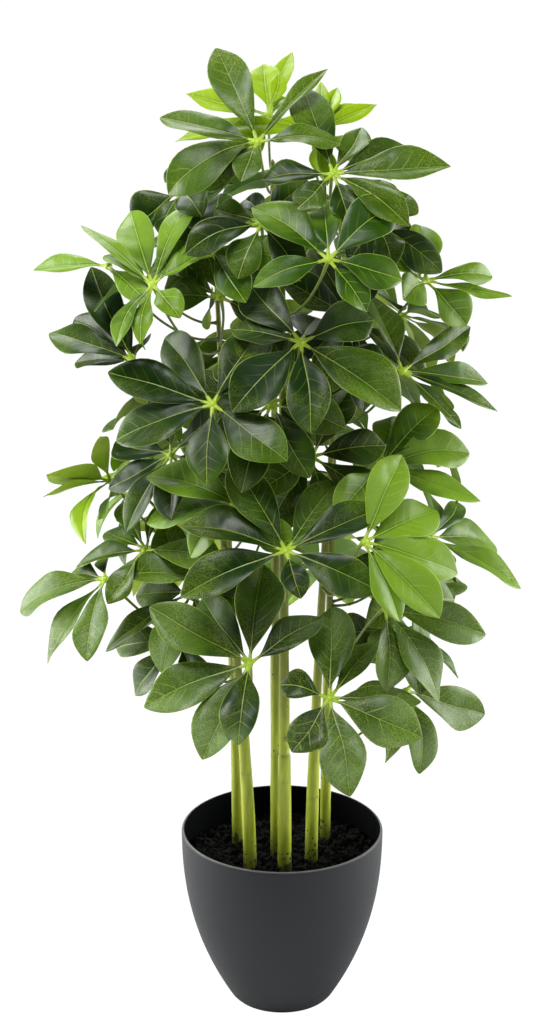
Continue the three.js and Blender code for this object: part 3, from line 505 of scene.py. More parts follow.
def leaf_places(tree):
    """A point's place in the plant, and where it is on its own leaflet.

    tipward rises from -0.2 at 15 mm along to 0.3 at 85 mm. The height mask of the low leaves, for their paler
    print and their painted sheen, rises from 0 at 460 mm above the floor to 0.16 at 340 mm.
    """
    at = {field: add_node(tree, ATTRIBUTE, attribute_name=field).outputs["Fac"] for field in LEAF_FIELDS}
    at["place"] = add_node(tree, "ShaderNodeTexCoord").outputs["Object"]
    at["aside"] = add_node(tree, MATH, links={0: at["across"]}, operation="ABSOLUTE").outputs[0]
    rising = {"From Min": 15, "From Max": 85, "To Min": -0.2, "To Max": 0.3}
    at["tipward"] = add_node(tree, MAP_RANGE, rising, {"Value": at["along"]}).outputs["Result"]
    height = add_node(tree, "ShaderNodeSeparateXYZ", links={0: at["place"]}).outputs["Z"]
    at["low_print_and_sheen"] = add_node(
        tree, MAP_RANGE, {"From Min": 460 * MM, "From Max": 340 * MM, "To Max": 0.16}, {"Value": height}
    ).outputs["Result"]
    return at


# %% [markdown]
# ## Print of a leaf, with painted shade and sheen
# A fabric leaf is printed in two greens that run into each other. So a noise mixes the greens, and nearness to
# the middle of the crown darkens them, as painted shade where the leaves shade each other. The speckle is a
# much finer noise, cut off so that only its peaks show as dots. The lowest leaves get a painted sheen, and the
# furrow beside the midrib painted shade.

# %% Clouds, painted crown shade, speckle, painted sheen and painted shade by the midrib
CLOUD_SIZE = 29.4 * MM
THIN_PATCH_SIZE = 26.3 * MM
DOT_SIZE = 0.7692 * MM
SHEEN_PATCH_SIZE = 62.5 * MM
CROWN_MIDDLE = 511 * MM
CROWN_SQUASH = 0.45


def cloudy_print_with_crown_shade(tree, at, deep, fresh):
    """Clouds of deep and fresh green, shifted by the leaflet's tone and paler towards the tip.

    They are multiplied by a share of light, the painted shade of the crown: it is 0.2 up to 40 mm from the
    crown's middle and 1 beyond 140 mm, with heights counted at 0.45 of their size because the crown is tall.
    """
    place = {"Vector": at["place"]}
    clouds = add_node(tree, NOISE, {"Scale": 1 / CLOUD_SIZE, "Detail": 2}, place).outputs["Fac"]
    for shift in (at["tone"], at["tipward"]):
        clouds = add_node(tree, MATH, links={0: shift, 1: clouds}, operation="ADD").outputs[0]
    clouds = add_node(
        tree, MAP_RANGE, {"From Min": 0.55, "From Max": 1.3}, {"Value": clouds}, **SMOOTH
    ).outputs["Result"]
    greens = {A: linear(deep), B: linear(fresh)}
    colour = add_node(tree, MIX, greens, {FACTOR: clouds}, data_type="RGBA").outputs[MIXED]
    # Painted shade: the colour darkens towards the middle of the crown, where the leaves shade each other
    squashed = {"Location": (0, 0, -CROWN_MIDDLE * CROWN_SQUASH), "Scale": (1, 1, CROWN_SQUASH)}
    inward = add_node(tree, "ShaderNodeMapping", squashed, place).outputs[0]
    reach = add_node(tree, "ShaderNodeVectorMath", links={0: inward}, operation="LENGTH").outputs["Value"]
    crown_shade_range = {"From Min": 40 * MM, "From Max": 140 * MM, "To Min": 0.2}
    crown_light_share = add_node(tree, MAP_RANGE, crown_shade_range, {"Value": reach}, **SMOOTH).outputs["Result"]
    colour = add_node(
        tree, MIX, {FACTOR: 1.0}, {A: colour, B: crown_light_share}, data_type="RGBA", blend_type="MULTIPLY"
    ).outputs[MIXED]
    return colour, clouds, crown_light_share


def speckled(tree, at, colour, strength):
    """Pale dots, thickest where the print is thin: towards the tip, on pale leaflets and low on the plant.

    Real ones are finer. They are 0.8 mm wide here, so that they show in the picture.
    """
    place = {"Vector": at["place"]}
    dots = add_node(tree, NOISE, {"Scale": 1 / DOT_SIZE, "Detail": 1}, place).outputs["Fac"]
    dots = add_node(
        tree, MAP_RANGE, {"From Min": 0.5, "From Max": 0.62}, {"Value": dots}, **SMOOTH
    ).outputs["Result"]
    thin = add_node(tree, NOISE, {"Scale": 1 / THIN_PATCH_SIZE, "Detail": 1}, place).outputs["Fac"]
    for share, field in ((0.5, "tipward"), (0.3, "tone"), (1.0, "low_print_and_sheen")):
        thin = add_node(tree, MATH, {1: share}, {0: at[field], 2: thin}, operation="MULTIPLY_ADD").outputs[0]
    thin = add_node(
        tree, MAP_RANGE, {"From Min": 0.48, "From Max": 0.9, "To Max": strength}, {"Value": thin}
    ).outputs["Result"]
    dots = add_node(tree, MATH, links={0: dots, 1: thin}, operation="MULTIPLY").outputs[0]
    return painted(tree, colour, ("#aabc58", dots)), dots, thin


def painted_low_sheen(tree, at, colour):
    """A painted sheen, the white floor's reflection, on the outer half of the lowest leaves, in patches."""
    sheen = add_node(
        tree, MAP_RANGE, {"From Min": 22, "From Max": 62, "To Max": 2.4}, {"Value": at["along"]}, **SMOOTH
    ).outputs["Result"]
    wisps = add_node(
        tree, NOISE, {"Scale": 1 / SHEEN_PATCH_SIZE, "Detail": 3}, {"Vector": at["place"]}
    ).outputs["Fac"]
    wisps = add_node(
        tree, MAP_RANGE, {"From Min": 0.44, "From Max": 0.58, "To Min": 0.1}, {"Value": wisps}
    ).outputs["Result"]
    for part in (at["low_print_and_sheen"], wisps):
        sheen = add_node(tree, MATH, links={0: part, 1: sheen}, operation="MULTIPLY").outputs[0]
    return painted(tree, colour, ("#98b080", sheen))


def painted_groove_shade(tree, at, colour, deep):
    """A darker strip up to 2.6 mm from the rib, painted shade in the furrow beside it, fainter towards the
    tip.
    """
    groove_shade = add_node(
        tree, MAP_RANGE, {"From Min": 2.6, "From Max": 0.6, "To Max": 0.5}, {"Value": at["aside"]}, **SMOOTH
    ).outputs["Result"]
    fading = {"From Min": 20, "From Max": 60, "To Min": 1.0, "To Max": 0.4}
    fade = add_node(tree, MAP_RANGE, fading, {"Value": at["along"]}).outputs["Result"]
    groove_shade = add_node(tree, MATH, links={0: groove_shade, 1: fade}, operation="MULTIPLY").outputs[0]
    shade = [0.45 * channel for channel in linear(deep)[:3]] + [1.0]
    return add_node(tree, MIX, {B: shade}, {FACTOR: groove_shade, A: colour}, data_type="RGBA").outputs[MIXED]


# %% [markdown]
# ## Veins of a leaf
# A leaflet's side veins leave the rib at an angle and curve towards the tip. Straight stripes across the
# leaflet turn into such veins when they are shifted by how far a point is from the rib. A slow noise makes
# them wander, and where the print is thin the finest net of veinlets shows too.

# %% Side veins, veinlets, midrib and cut edge
VEIN_SPACING_MM = 10.4
VEIN_PATCH_SIZE = 35.7 * MM
VEINLET_SIZE = 4.348 * MM


def vein_lines(tree, at, wobble, thin):
    """Lines 0.7 mm wide wherever along - 0.8 |x| - 0.012 |x|^2 + 12 wobble is a multiple of 10.4 mm.

    They are strongest near the rib, in patches 36 mm wide, on pale leaflets and low on the plant.
    """
    bend = add_node(tree, MATH, links={0: at["aside"], 1: at["aside"]}, operation="MULTIPLY").outputs[0]
    phase = at["along"]
    for share, shift in ((-0.8, at["aside"]), (-0.012, bend), (12.0, wobble)):
        phase = add_node(tree, MATH, {1: share}, {0: shift, 2: phase}, operation="MULTIPLY_ADD").outputs[0]
    veins = add_node(tree, MATH, {1: VEIN_SPACING_MM / 2}, {0: phase}, operation="PINGPONG").outputs[0]
    veins = add_node(
        tree, MAP_RANGE, {"From Min": 0.55, "From Max": 0.15}, {"Value": veins}, **SMOOTH
    ).outputs["Result"]
    inside = add_node(
        tree, MAP_RANGE, {"From Min": 0.95, "From Max": 0.4, "To Max": 0.46}, {"Value": at["margin"]}
    ).outputs["Result"]
    place = {"Vector": at["place"]}
    patches = add_node(tree, NOISE, {"Scale": 1 / VEIN_PATCH_SIZE, "Detail": 0}, place).outputs["Fac"]
    patches = add_node(
        tree, MAP_RANGE, {"From Min": 0.38, "From Max": 0.62, "To Min": 0.15}, {"Value": patches}
    ).outputs["Result"]
    clear = add_node(
        tree, MAP_RANGE, {"From Max": 0.7, "To Min": 0.3}, {"Value": at["tone"]}
    ).outputs["Result"]
    clear = add_node(tree, MATH, {1: 2.5}, {0: at["low_print_and_sheen"], 2: clear}, operation="MULTIPLY_ADD").outputs[0]
    for part in (inside, patches, clear):
        veins = add_node(tree, MATH, links={0: veins, 1: part}, operation="MULTIPLY").outputs[0]
    cells = add_node(
        tree, "ShaderNodeTexVoronoi", {"Scale": 1 / VEINLET_SIZE}, place, feature="DISTANCE_TO_EDGE"
    ).outputs["Distance"]
    cells = add_node(
        tree, MAP_RANGE, {"From Min": 0.075, "From Max": 0.02, "To Max": 0.5}, {"Value": cells}
    ).outputs["Result"]
    veinlets = add_node(tree, MATH, links={0: cells, 1: thin}, operation="MULTIPLY").outputs[0]
    return add_node(tree, MATH, links={0: veins, 1: veinlets}, operation="MAXIMUM").outputs[0]


def rib_and_edge(tree, at):
    """The midrib, 1 mm wide at the base and half that at the tip, and the pale cut edge of the outline."""
    taper = add_node(
        tree, MAP_RANGE, {"From Min": 0, "From Max": 70, "To Min": 1.0, "To Max": 1.8}, {"Value": at["along"]}
    ).outputs["Result"]
    taper = add_node(tree, MATH, links={0: at["aside"], 1: taper}, operation="MULTIPLY").outputs[0]
    rib = add_node(
        tree, MAP_RANGE, {"From Min": 0.7, "From Max": 0.25, "To Max": 0.56}, {"Value": taper}, **SMOOTH
    ).outputs["Result"]
    edge = add_node(
        tree, MAP_RANGE, {"From Min": 0.955, "From Max": 0.985, "To Max": 0.55}, {"Value": at["margin"]}
    ).outputs["Result"]
    return rib, add_node(tree, MATH, links={0: rib, 1: edge}, operation="MAXIMUM").outputs[0]


# %% Material: printed and pressed polyethylene leaf
WOBBLE_SIZE = 25 * MM
CREASE_SIZE = 18.2 * MM
CREASE_DEPTH = 3 * MM
PRESSED_DEPTH = 0.3 * MM


def leaf_material(name, deep, fresh, vein, back, speckle):
    """Polyethylene leaf: print with painted crown shade, speckle, painted sheen, painted shade by the midrib,
    veins and cut edge above, dull pale fabric below.
    """
    material, tree, output = new_material(name)
    at = leaf_places(tree)
    colour, clouds, crown_light_share = cloudy_print_with_crown_shade(tree, at, deep, fresh)
    colour, dots, thin = speckled(tree, at, colour, speckle)
    colour = painted_low_sheen(tree, at, colour)
    colour = painted_groove_shade(tree, at, colour, deep)
    place = {"Vector": at["place"]}
    wobble = add_node(tree, NOISE, {"Scale": 1 / WOBBLE_SIZE, "Detail": 0}, place).outputs["Fac"]
    side_veins = vein_lines(tree, at, wobble, thin)
    rib, lines = rib_and_edge(tree, at)
    colour = painted(tree, colour, (vein, side_veins), (vein, lines))

    # Underside: the bare fabric, pale, with the clouds faintly through it
    pale = {A: linear(back), B: linear(vein)}
    pale = add_node(tree, MIX, pale, {FACTOR: clouds}, data_type="RGBA").outputs[MIXED]
    sides = {FACTOR: at["underside"], A: colour, B: pale}
    colour = add_node(tree, MIX, links=sides, data_type="RGBA").outputs[MIXED]

    # Gloss: a satin print above, duller in the middle of the crown, and a dull fabric below
    gloss = add_node(
        tree, MAP_RANGE, {"From Min": 0.3, "From Max": 0.7, "To Min": 0.31, "To Max": 0.46}, {"Value": wobble}
    ).outputs["Result"]
    gloss = add_node(tree, MIX, {2: 0.6}, {FACTOR: crown_light_share, 3: gloss}, data_type="FLOAT").outputs[0]
    rough = add_node(tree, MIX, {3: 0.62}, {FACTOR: at["underside"], 2: gloss}, data_type="FLOAT").outputs[0]

    # Relief: rib, veins and dots pressed in, over soft creases
    press = add_node(tree, MATH, {1: 0.5}, {0: side_veins, 2: rib}, operation="MULTIPLY_ADD").outputs[0]
    press = add_node(tree, MATH, {1: 0.25}, {0: dots, 2: press}, operation="MULTIPLY_ADD").outputs[0]
    crease = add_node(tree, NOISE, {"Scale": 1 / CREASE_SIZE, "Detail": 1}, place).outputs["Fac"]
    bump = add_node(tree, BUMP, {"Strength": 0.55, "Distance": CREASE_DEPTH}, {"Height": crease}).outputs[0]
    bump = add_node(
        tree, BUMP, {"Strength": 0.5, "Distance": PRESSED_DEPTH}, {"Height": press, "Normal": bump}
    ).outputs[0]
    surface = {"Base Color": colour, "Roughness": rough, "Normal": bump}
    shader = add_node(tree, PRINCIPLED, {"IOR": 1.5, "Specular IOR Level": 0.23}, surface)
    tree.links.new(shader.outputs[0], output.inputs["Surface"])
    return material


# For each finish: deep and fresh green, veins, underside, and how strong the speckle is
leaf_finishes = {
    "dark": leaf_material("polyethylene_leaf_dark", "#142c08", "#3c5a0c", "#9cb23e", "#567828", 0.32),
    "fresh": leaf_material("polyethylene_leaf_fresh", "#244406", "#66881e", "#a8c848", "#70943c", 0.12),
    "lime": leaf_material("polyethylene_leaf_lime", "#628608", "#86a608", "#b6ce44", "#98b630", 0.08),
}
print("leaf finishes:", [material.name for material in leaf_finishes.values()])

# %% [markdown]
# ## Finish of the stalks
# Leaf stalks are dyed plastic, olive at the stem and bright yellow-green at the hub, with faint streaks.
# Every skin of a stalk says how young it is, from 0 to 1, and a ramp of three colours reads that.

# %% Material: dyed polyethylene stalk
STALK_STREAK_SIZE = 3.846 * MM


def stalk_material():
    """Polyethylene stalk: an olive to yellow-green ramp along the stalk, with faint streaks."""
    material, tree, output = new_material("polyethylene_stalk")
    place = add_node(tree, "ShaderNodeTexCoord").outputs["Object"]
    young = add_node(tree, ATTRIBUTE, attribute_name="young").outputs["Fac"]
    ramp = add_node(tree, "ShaderNodeValToRGB", links={0: young})
    ramp.color_ramp.elements[0].color = linear("#59632c")
    ramp.color_ramp.elements[1].color = linear("#a0bc20")
    middle = ramp.color_ramp.elements.new(0.6)
    middle.color = linear("#6e8030")
    streaks = add_node(
        tree, NOISE, {"Scale": 1 / STALK_STREAK_SIZE, "Detail": 3}, {"Vector": place}
    ).outputs["Fac"]
    streaks = add_node(
        tree, MAP_RANGE, {"From Min": 0.35, "From Max": 0.7, "To Max": 0.35}, {"Value": streaks}
    ).outputs["Result"]
    colour = painted(tree, ramp.outputs[0], ("#7f9a2c", streaks))
    bump = add_node(tree, BUMP, {"Strength": 0.4, "Distance": 0.2 * MM}, {"Height": streaks}).outputs[0]
    shader = add_node(
        tree, PRINCIPLED, {"Roughness": 0.45, "IOR": 1.5}, {"Base Color": colour, "Normal": bump}
    )
    tree.links.new(shader.outputs[0], output.inputs["Surface"])
    return material


stalk_finish = stalk_material()
print("stalk finish:", stalk_finish.name)

# %% [markdown]
# ## Growing all the leaves
# Each umbrella leaf becomes two pieces, its blades and its stalk parts, that together stand for its CAD node.
# Which leaves are fresh green, and how pale the noted ones are, was judged. The others get a random tone,
# paler low in the crown as painted light, for the white floor's reflection on the lowest leaves. A seeded
# random stream gives each leaflet its own tone and wave, the same at each run.

# %% Build every leaf
LOWER_CROWN = np.array([520, 400]) * MM
CHANCE_TONES = (0.02, 0.6)
PAINTED_LIGHT_BELOW = 0.35
TONE_SPREAD = 0.25
FRESH_LEAVES = {
    "leaf_05", "leaf_06", "leaf_07", "leaf_08", "leaf_10", "leaf_15", "leaf_16", "leaf_17", "leaf_24",
    "leaf_38", "leaf_42", "leaf_46", "leaf_50",
}
NOTED_TONES = {
    "leaf_01": 0.62, "leaf_02": 0.4, "leaf_03": 0.9, "leaf_04": 0.8, "leaf_05": 0.75, "leaf_06": 0.7,
    "leaf_07": 0.4, "leaf_08": 0.35, "leaf_09": 0.3, "leaf_10": 0.8, "leaf_11": 0.5, "leaf_12": 0.2,
    "leaf_14": 0.3, "leaf_15": 0.6, "leaf_16": 0.6, "leaf_17": 0.95, "leaf_20": 0.45, "leaf_21": 0.55,
    "leaf_22": 0.75, "leaf_24": 0.4, "leaf_38": 0.2,
}
sizes_mm = []
for number, (name, leaf) in enumerate(leaves.items()):
    random = np.random.default_rng(100 + number)
    finish = "fresh" if name in FRESH_LEAVES else "lime" if slot_of[name] == "leaf_lime" else "dark"
    leaflets = [read_leaflet(rings, leaf["hub"], finish == "lime") for rings in leaf["leaflets"]]
    sizes_mm += [(leaflet["length"] / MM, leaflet["width"] / MM) for leaflet in leaflets]
    lower = np.interp(leaf["hub"][2], LOWER_CROWN[::-1], (1, 0))
    # Painted light: leaves low in the crown get a paler tone, for the white floor's reflection on them
    mood = NOTED_TONES.get(name, random.uniform(*CHANCE_TONES) + PAINTED_LIGHT_BELOW * lower)
    tones = np.clip(mood + random.uniform(-TONE_SPREAD, TONE_SPREAD, len(leaflets)), 0, 1)
    blades = make_piece(
        name + "_blades",
        [leaflet_skin(leaflet, random, tone) for leaflet, tone in zip(leaflets, tones)],
        leaf_finishes[finish],
        LEAF_FIELDS,
    )
    stalk = make_piece(
        name + "_stalk",
        [stalk_skin(leaf), hub_skin(leaf)] + [strap_skin(leaf, leaflet) for leaflet in leaflets],
        stalk_finish,
        ("young",),
    )
    for piece, slot in ((blades, slot_of[name]), (stalk, "stem")):
        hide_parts(name)
spread_mm = np.percentile(sizes_mm, (10, 50, 90), axis=0).round()
print("lengths and widths in mm, 10th, 50th and 90th of 100:", spread_mm)
grown = [piece for piece in bpy.data.objects if piece.name.endswith(("_blades", "_stalk"))]
print("leaf faces:", sum(len(piece.data.polygons) for piece in grown))

# %% [markdown]
# ## Stems
# The stems are moulded canes, a little uneven, with a raised ring every few centimetres where a leaf once
# grew. The CAD rings give the middle and the radius at some heights, and a smooth curve joins them.

# %% Shape of a stem
SOIL_TOP = 140 * MM
JOINT_HEIGHTS = {
    "stem_1": 300 * MM,
    "stem_2": 330 * MM,
    "stem_3": 345 * MM,
    "stem_4": 258 * MM,
    "stem_5": 285 * MM,
    "stem_6": 320 * MM,
}
STEM_SIDES = 28
STEM_STEP = 2 * MM
SCAR_GAPS_MM = (60, 110)
SCAR_COUNT = 8


def stem_skin(name, random):
    """Rings of 28 points every 2 mm: radius(z) * (1 + small waves) plus 0.12 mm at each leaf scar.

    Just below each scar the cane is 0.08 mm thinner. Below its joint it has a sleeve, which is 1 mm thicker
    all round, with a small dark lip.
    """
    points, _ = merged_net(name)
    levels = np.unique(points[:, 2].round(5))
    groups = [points[np.abs(points[:, 2] - level) < 2e-5] for level in levels]
    groups = [group for group in groups if len(group) > 4]
    middles = np.array([group.mean(0) for group in groups])
    radii = np.array([np.linalg.norm(group - group.mean(0), axis=1).mean() for group in groups])
    height = np.arange(middles[0, 2], middles[-1, 2], STEM_STEP)
    path = smooth_path(middles, middles[:, 2], height)
    path = np.vstack([path, middles[-1]])
    height = path[:, 2]
    radius = np.interp(height, middles[:, 2], radii)
    scars = SOIL_TOP + np.cumsum(random.uniform(*SCAR_GAPS_MM, SCAR_COUNT)) * MM
    ring = np.exp(-(((height[:, None] - scars) / (1.6 * MM)) ** 2)).sum(1)
    below = np.exp(-(((height[:, None] - scars + 3.5 * MM) / (1.8 * MM)) ** 2)).sum(1)
    angle = np.linspace(0, 2 * math.pi, STEM_SIDES, endpoint=False)
    oval = 0.025 * np.sin(height * 41 + 1)[:, None] * np.cos(2 * angle)
    uneven = 1 + oval + 0.02 * np.sin(height * 67)[:, None]
    joint = JOINT_HEIGHTS[name]
    sleeve = np.where(height < joint, 0.3, -0.7) * MM
    ring = ring + 2.5 * np.exp(-(((height - joint) / (1.2 * MM)) ** 2))
    around = radius[:, None] * uneven + (0.12 * ring - 0.08 * below)[:, None] * MM + sleeve[:, None]
    circle = np.stack([np.cos(angle), np.sin(angle), np.zeros(STEM_SIDES)], axis=-1)
    rings = path[:, None] + around[:, :, None] * circle
    scar = np.broadcast_to(ring[:, None], rings.shape[:2])
    rise = np.broadcast_to((height[:, None] - SOIL_TOP) / MM, rings.shape[:2])
    return closed_skin(rings, path[0], path[-1] + (0, 0, 3 * MM), scar=scar, rise=rise)


# %% [markdown]
# ## Finish of the stems
# The cane is dyed a yellowish olive, streaked lengthwise and browner at the scars, and up in the crown it gets
# painted shade under the leaves. It is darker towards the soil, and dark flecks gather above the soil. So the
# patterns read the height above the soil, and how near a scar is.

# %% Material: moulded cane, and the stems
CANE_STREAK_SIZE = 5 * MM
FLECK_SIZE = 3.846 * MM
FLECK_PATCH_SIZE = 11.11 * MM


def stem_material():
    """Moulded cane: olive yellow-green, streaked lengthwise, browner at the scars, with painted shade up in
    the crown.

    rise is the height above the soil in mm. The streaks are stretched to seven times their width.
    """
    material, tree, output = new_material("moulded_cane")
    place = add_node(tree, "ShaderNodeTexCoord").outputs["Object"]
    scar = add_node(tree, ATTRIBUTE, attribute_name="scar").outputs["Fac"]
    rise = add_node(tree, ATTRIBUTE, attribute_name="rise").outputs["Fac"]
    long_way = add_node(tree, "ShaderNodeMapping", {"Scale": (1, 1, 0.15)}, {"Vector": place}).outputs[0]
    streaks = add_node(
        tree, NOISE, {"Scale": 1 / CANE_STREAK_SIZE, "Detail": 3}, {"Vector": long_way}
    ).outputs["Fac"]
    streaks = add_node(
        tree, MAP_RANGE, {"From Min": 0.3, "From Max": 0.7}, {"Value": streaks}
    ).outputs["Result"]
    colour = add_node(
        tree, MIX, {A: linear("#88981e"), B: linear("#b8c23c")}, {FACTOR: streaks}, data_type="RGBA"
    ).outputs[MIXED]

    # Browner at the scars, and painted shade of the crown, more and more from 110 to 230 mm above the soil
    scar_brown_and_crown_shade = add_node(tree, MATH, {1: 0.22}, {0: scar}, operation="MULTIPLY").outputs[0]
    crown_shade_on_cane = add_node(
        tree, MAP_RANGE, {"From Min": 110, "From Max": 230, "To Max": 0.75}, {"Value": rise}, **SMOOTH
    ).outputs["Result"]
    scar_brown_and_crown_shade = add_node(tree, MATH, links={0: scar_brown_and_crown_shade, 1: crown_shade_on_cane}, operation="MAXIMUM").outputs[0]

    # Darker towards the soil, over the lowest 35 mm
    darker_near_soil = add_node(
        tree, MAP_RANGE, {"From Min": 35, "From Max": -4, "To Max": 0.9}, {"Value": rise}, **SMOOTH
    ).outputs["Result"]

    # Flecks: dark dots about 1 mm long, sparse on the cane and dense in the 25 mm above the soil
    flecks = add_node(
        tree, "ShaderNodeTexVoronoi", {"Scale": 1 / FLECK_SIZE}, {"Vector": place}
    ).outputs["Distance"]
    chance = add_node(
        tree, NOISE, {"Scale": 1 / FLECK_PATCH_SIZE, "Detail": 2}, {"Vector": place}
    ).outputs["Fac"]
    dirt = add_node(
        tree, MAP_RANGE, {"From Min": 32, "From Max": 0, "To Min": 0.0, "To Max": 0.34}, {"Value": rise}
    ).outputs["Result"]
    reach = add_node(tree, MATH, links={0: chance, 1: dirt}, operation="ADD").outputs[0]
    reach = add_node(
        tree, MAP_RANGE, {"From Min": 0.56, "From Max": 0.95, "To Min": 0.0, "To Max": 0.75}, {"Value": reach}
    ).outputs["Result"]
    flecks = add_node(tree, MATH, links={0: flecks, 1: reach}, operation="LESS_THAN").outputs[0]
    flecks = add_node(tree, MATH, {1: 0.85}, {0: flecks}, operation="MULTIPLY").outputs[0]
    # The brownish olive is scar colour and painted shade of the crown
    colour = painted(tree, colour, ("#66661c", scar_brown_and_crown_shade), ("#34380f", darker_near_soil), ("#20200f", flecks))
    bump = add_node(tree, BUMP, {"Strength": 0.15, "Distance": 0.3 * MM}, {"Height": streaks}).outputs[0]
    shader = add_node(
        tree, PRINCIPLED, {"Roughness": 0.5, "IOR": 1.5}, {"Base Color": colour, "Normal": bump}
    )
    tree.links.new(shader.outputs[0], output.inputs["Surface"])
    return material


cane_finish = stem_material()
for number, name in enumerate(stem_nodes):
    skin = stem_skin(name, np.random.default_rng(40 + number))
    stem = make_piece(name + "_cane", [skin], cane_finish, ("scar", "rise"))
    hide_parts(name)
    print(stem.name, "faces", len(stem.data.polygons))

# %% [markdown]
# ## Pot
# The pot is injection-moulded polypropylene with a matte, finely sparked surface. It is a profile turned
# round its axis, so the profile's radius at each height says everything. It swells quickly from a small foot
# and runs up to an upright rim with a rounded lip.

# %% Shape of the pot
POT_HEIGHT = 167 * MM
RIM_RADIUS = 92 * MM
FOOT_RADIUS = 46 * MM
WALL = 3.5 * MM
LIP_POINTS = 9
POT_SIDES = 144


def pot_radius(height):
    """Outside radius: rim - (rim - foot) * (1 - height / top)^2.3."""
    return RIM_RADIUS - (RIM_RADIUS - FOOT_RADIUS) * (1 - np.clip(height / POT_HEIGHT, 0, 1)) ** 2.3


def turned_skin(profile, around, **fields):
    """A profile of (radius, height) rows turned round the Z axis, with each end closed on the axis."""
    angle = np.linspace(0, 2 * math.pi, around, endpoint=False)
    radius, height = profile[:, 0, None], profile[:, 1, None]
    rings = np.stack([radius * np.cos(angle), radius * np.sin(angle), height + 0 * angle], axis=-1)
    spread = {name: np.broadcast_to(field[:, None], rings.shape[:2]) for name, field in fields.items()}
    return closed_skin(rings, (0, 0, profile[0, 1]), (0, 0, profile[-1, 1]), **spread)


def pot_profile():
    """From the middle of the underside out, up the outside, over the lip's half circle, and down the inside.

    With it comes a number for each row: 0 up to the top of the lip, and 1 inside the pot, where shade is
    painted.
    """
    under = np.array([(20, 1.2), (36, 1.2), (39, 0.2), (43, 0), (45.2, 0.5), (46.6, 1.8)]) * MM
    up = np.linspace(4, 164.6, 46) * MM
    outside = np.stack([pot_radius(up), up], axis=-1)
    turn = np.linspace(0, math.pi, LIP_POINTS)
    middle = RIM_RADIUS - WALL / 2
    lip_height = POT_HEIGHT - WALL / 2 + WALL / 2 * np.sin(turn)
    lip = np.stack([middle + WALL / 2 * np.cos(turn), lip_height], axis=-1)
    down = np.linspace(163, 6, 30) * MM
    inside = np.stack([pot_radius(down) - WALL, down], axis=-1)
    floor = np.array([(38, 4), (20, 4)]) * MM
    profile = np.vstack([under, outside, lip, inside, floor])
    lip_top = len(under) + len(outside) + LIP_POINTS // 2
    return profile, (np.arange(len(profile)) > lip_top).astype(float)


# %% [markdown]
# ## Finish of the pot
# Matte polypropylene scatters light, so its dark grey looks even. A fine grain in relief does that, and the
# top of the lip gets a paler painted highlight. Inside, the plastic is unpolished and painted near black as
# shade.

# %% Material: matte polypropylene, and the pot
LIP_HIGHLIGHT_HEIGHT = 1.2 * MM
POT_CLOUD_SIZE = 38.46 * MM
POT_GRAIN_SIZE = 0.5556 * MM


def pot_material():
    """Matte polypropylene: anthracite, faintly cloudy, with a grain of 0.6 mm, a painted highlight on the lip
    and painted shade inside.
    """
    material, tree, output = new_material("matte_polypropylene")
    place = add_node(tree, "ShaderNodeTexCoord").outputs["Object"]
    within = add_node(tree, ATTRIBUTE, attribute_name="within").outputs["Fac"]
    height = add_node(tree, "ShaderNodeSeparateXYZ", links={0: place}).outputs["Z"]
    clouds = add_node(
        tree, NOISE, {"Scale": 1 / POT_CLOUD_SIZE, "Detail": 4}, {"Vector": place}
    ).outputs["Fac"]
    colour = add_node(
        tree, MIX, {A: linear("#1f2225"), B: linear("#272a2c")}, {FACTOR: clouds}, data_type="RGBA"
    ).outputs[MIXED]
    # Painted highlight: the top 1.2 mm of the lip is paler, where the light catches its round
    lip_highlight = {"From Min": POT_HEIGHT - LIP_HIGHLIGHT_HEIGHT, "From Max": POT_HEIGHT, "To Max": 0.55}
    lip = add_node(tree, MAP_RANGE, lip_highlight, {"Value": height}).outputs["Result"]
    # Painted shade: the inside of the pot is near black
    colour = painted(tree, colour, ("#8b8a88", lip), ("#030407", within))
    grain = add_node(
        tree, NOISE, {"Scale": 1 / POT_GRAIN_SIZE, "Detail": 2}, {"Vector": place}
    ).outputs["Fac"]
    bump = add_node(tree, BUMP, {"Strength": 0.25, "Distance": 0.15 * MM}, {"Height": grain}).outputs[0]
    rough = add_node(
        tree, MAP_RANGE, {"To Min": 0.5, "To Max": 0.64}, {"Value": clouds}
    ).outputs["Result"]
    outer = add_node(
        tree,
        PRINCIPLED,
        {"IOR": 1.49, "Specular IOR Level": 0.35},
        {"Base Color": colour, "Roughness": rough, "Normal": bump},
    )

    # Inside: unpolished, with hardly any shine
    inner = add_node(
        tree, PRINCIPLED, {"Roughness": 0.9, "Specular IOR Level": 0.06}, {"Base Color": colour}
    )
    both = {0: within, 1: outer.outputs[0], 2: inner.outputs[0]}
    shader = add_node(tree, "ShaderNodeMixShader", links=both)
    tree.links.new(shader.outputs[0], output.inputs["Surface"])
    return material


profile, within = pot_profile()
shell = turned_skin(profile, POT_SIDES, within=within)
pot = make_piece("pot_shell", [shell], pot_material(), ("within",))
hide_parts("pot")
print("pot faces:", len(pot.data.polygons))

# %% [markdown]
# ## Soil
# Potting soil is loose crumbs of peat. Its body is a turned surface whose top is shaken up by waves of
# several lengths. Fifteen hundred crumbs of a few faces each lie on it, and ninety pale fibres among them.

# %% Shape of the soil
soil_random = np.random.default_rng(9)
WAVE_COUNT = 60
SOIL_EDGE = 136 * MM
SOIL_GAP = 0.5 * MM
SOIL_ROWS = 56
SOIL_SIDES = 200
wave_length = np.geomspace(5, 36, WAVE_COUNT) * MM
wave_turn = soil_random.uniform(0, 2 * math.pi, WAVE_COUNT)
wave_phase = soil_random.uniform(0, 2 * math.pi, WAVE_COUNT)


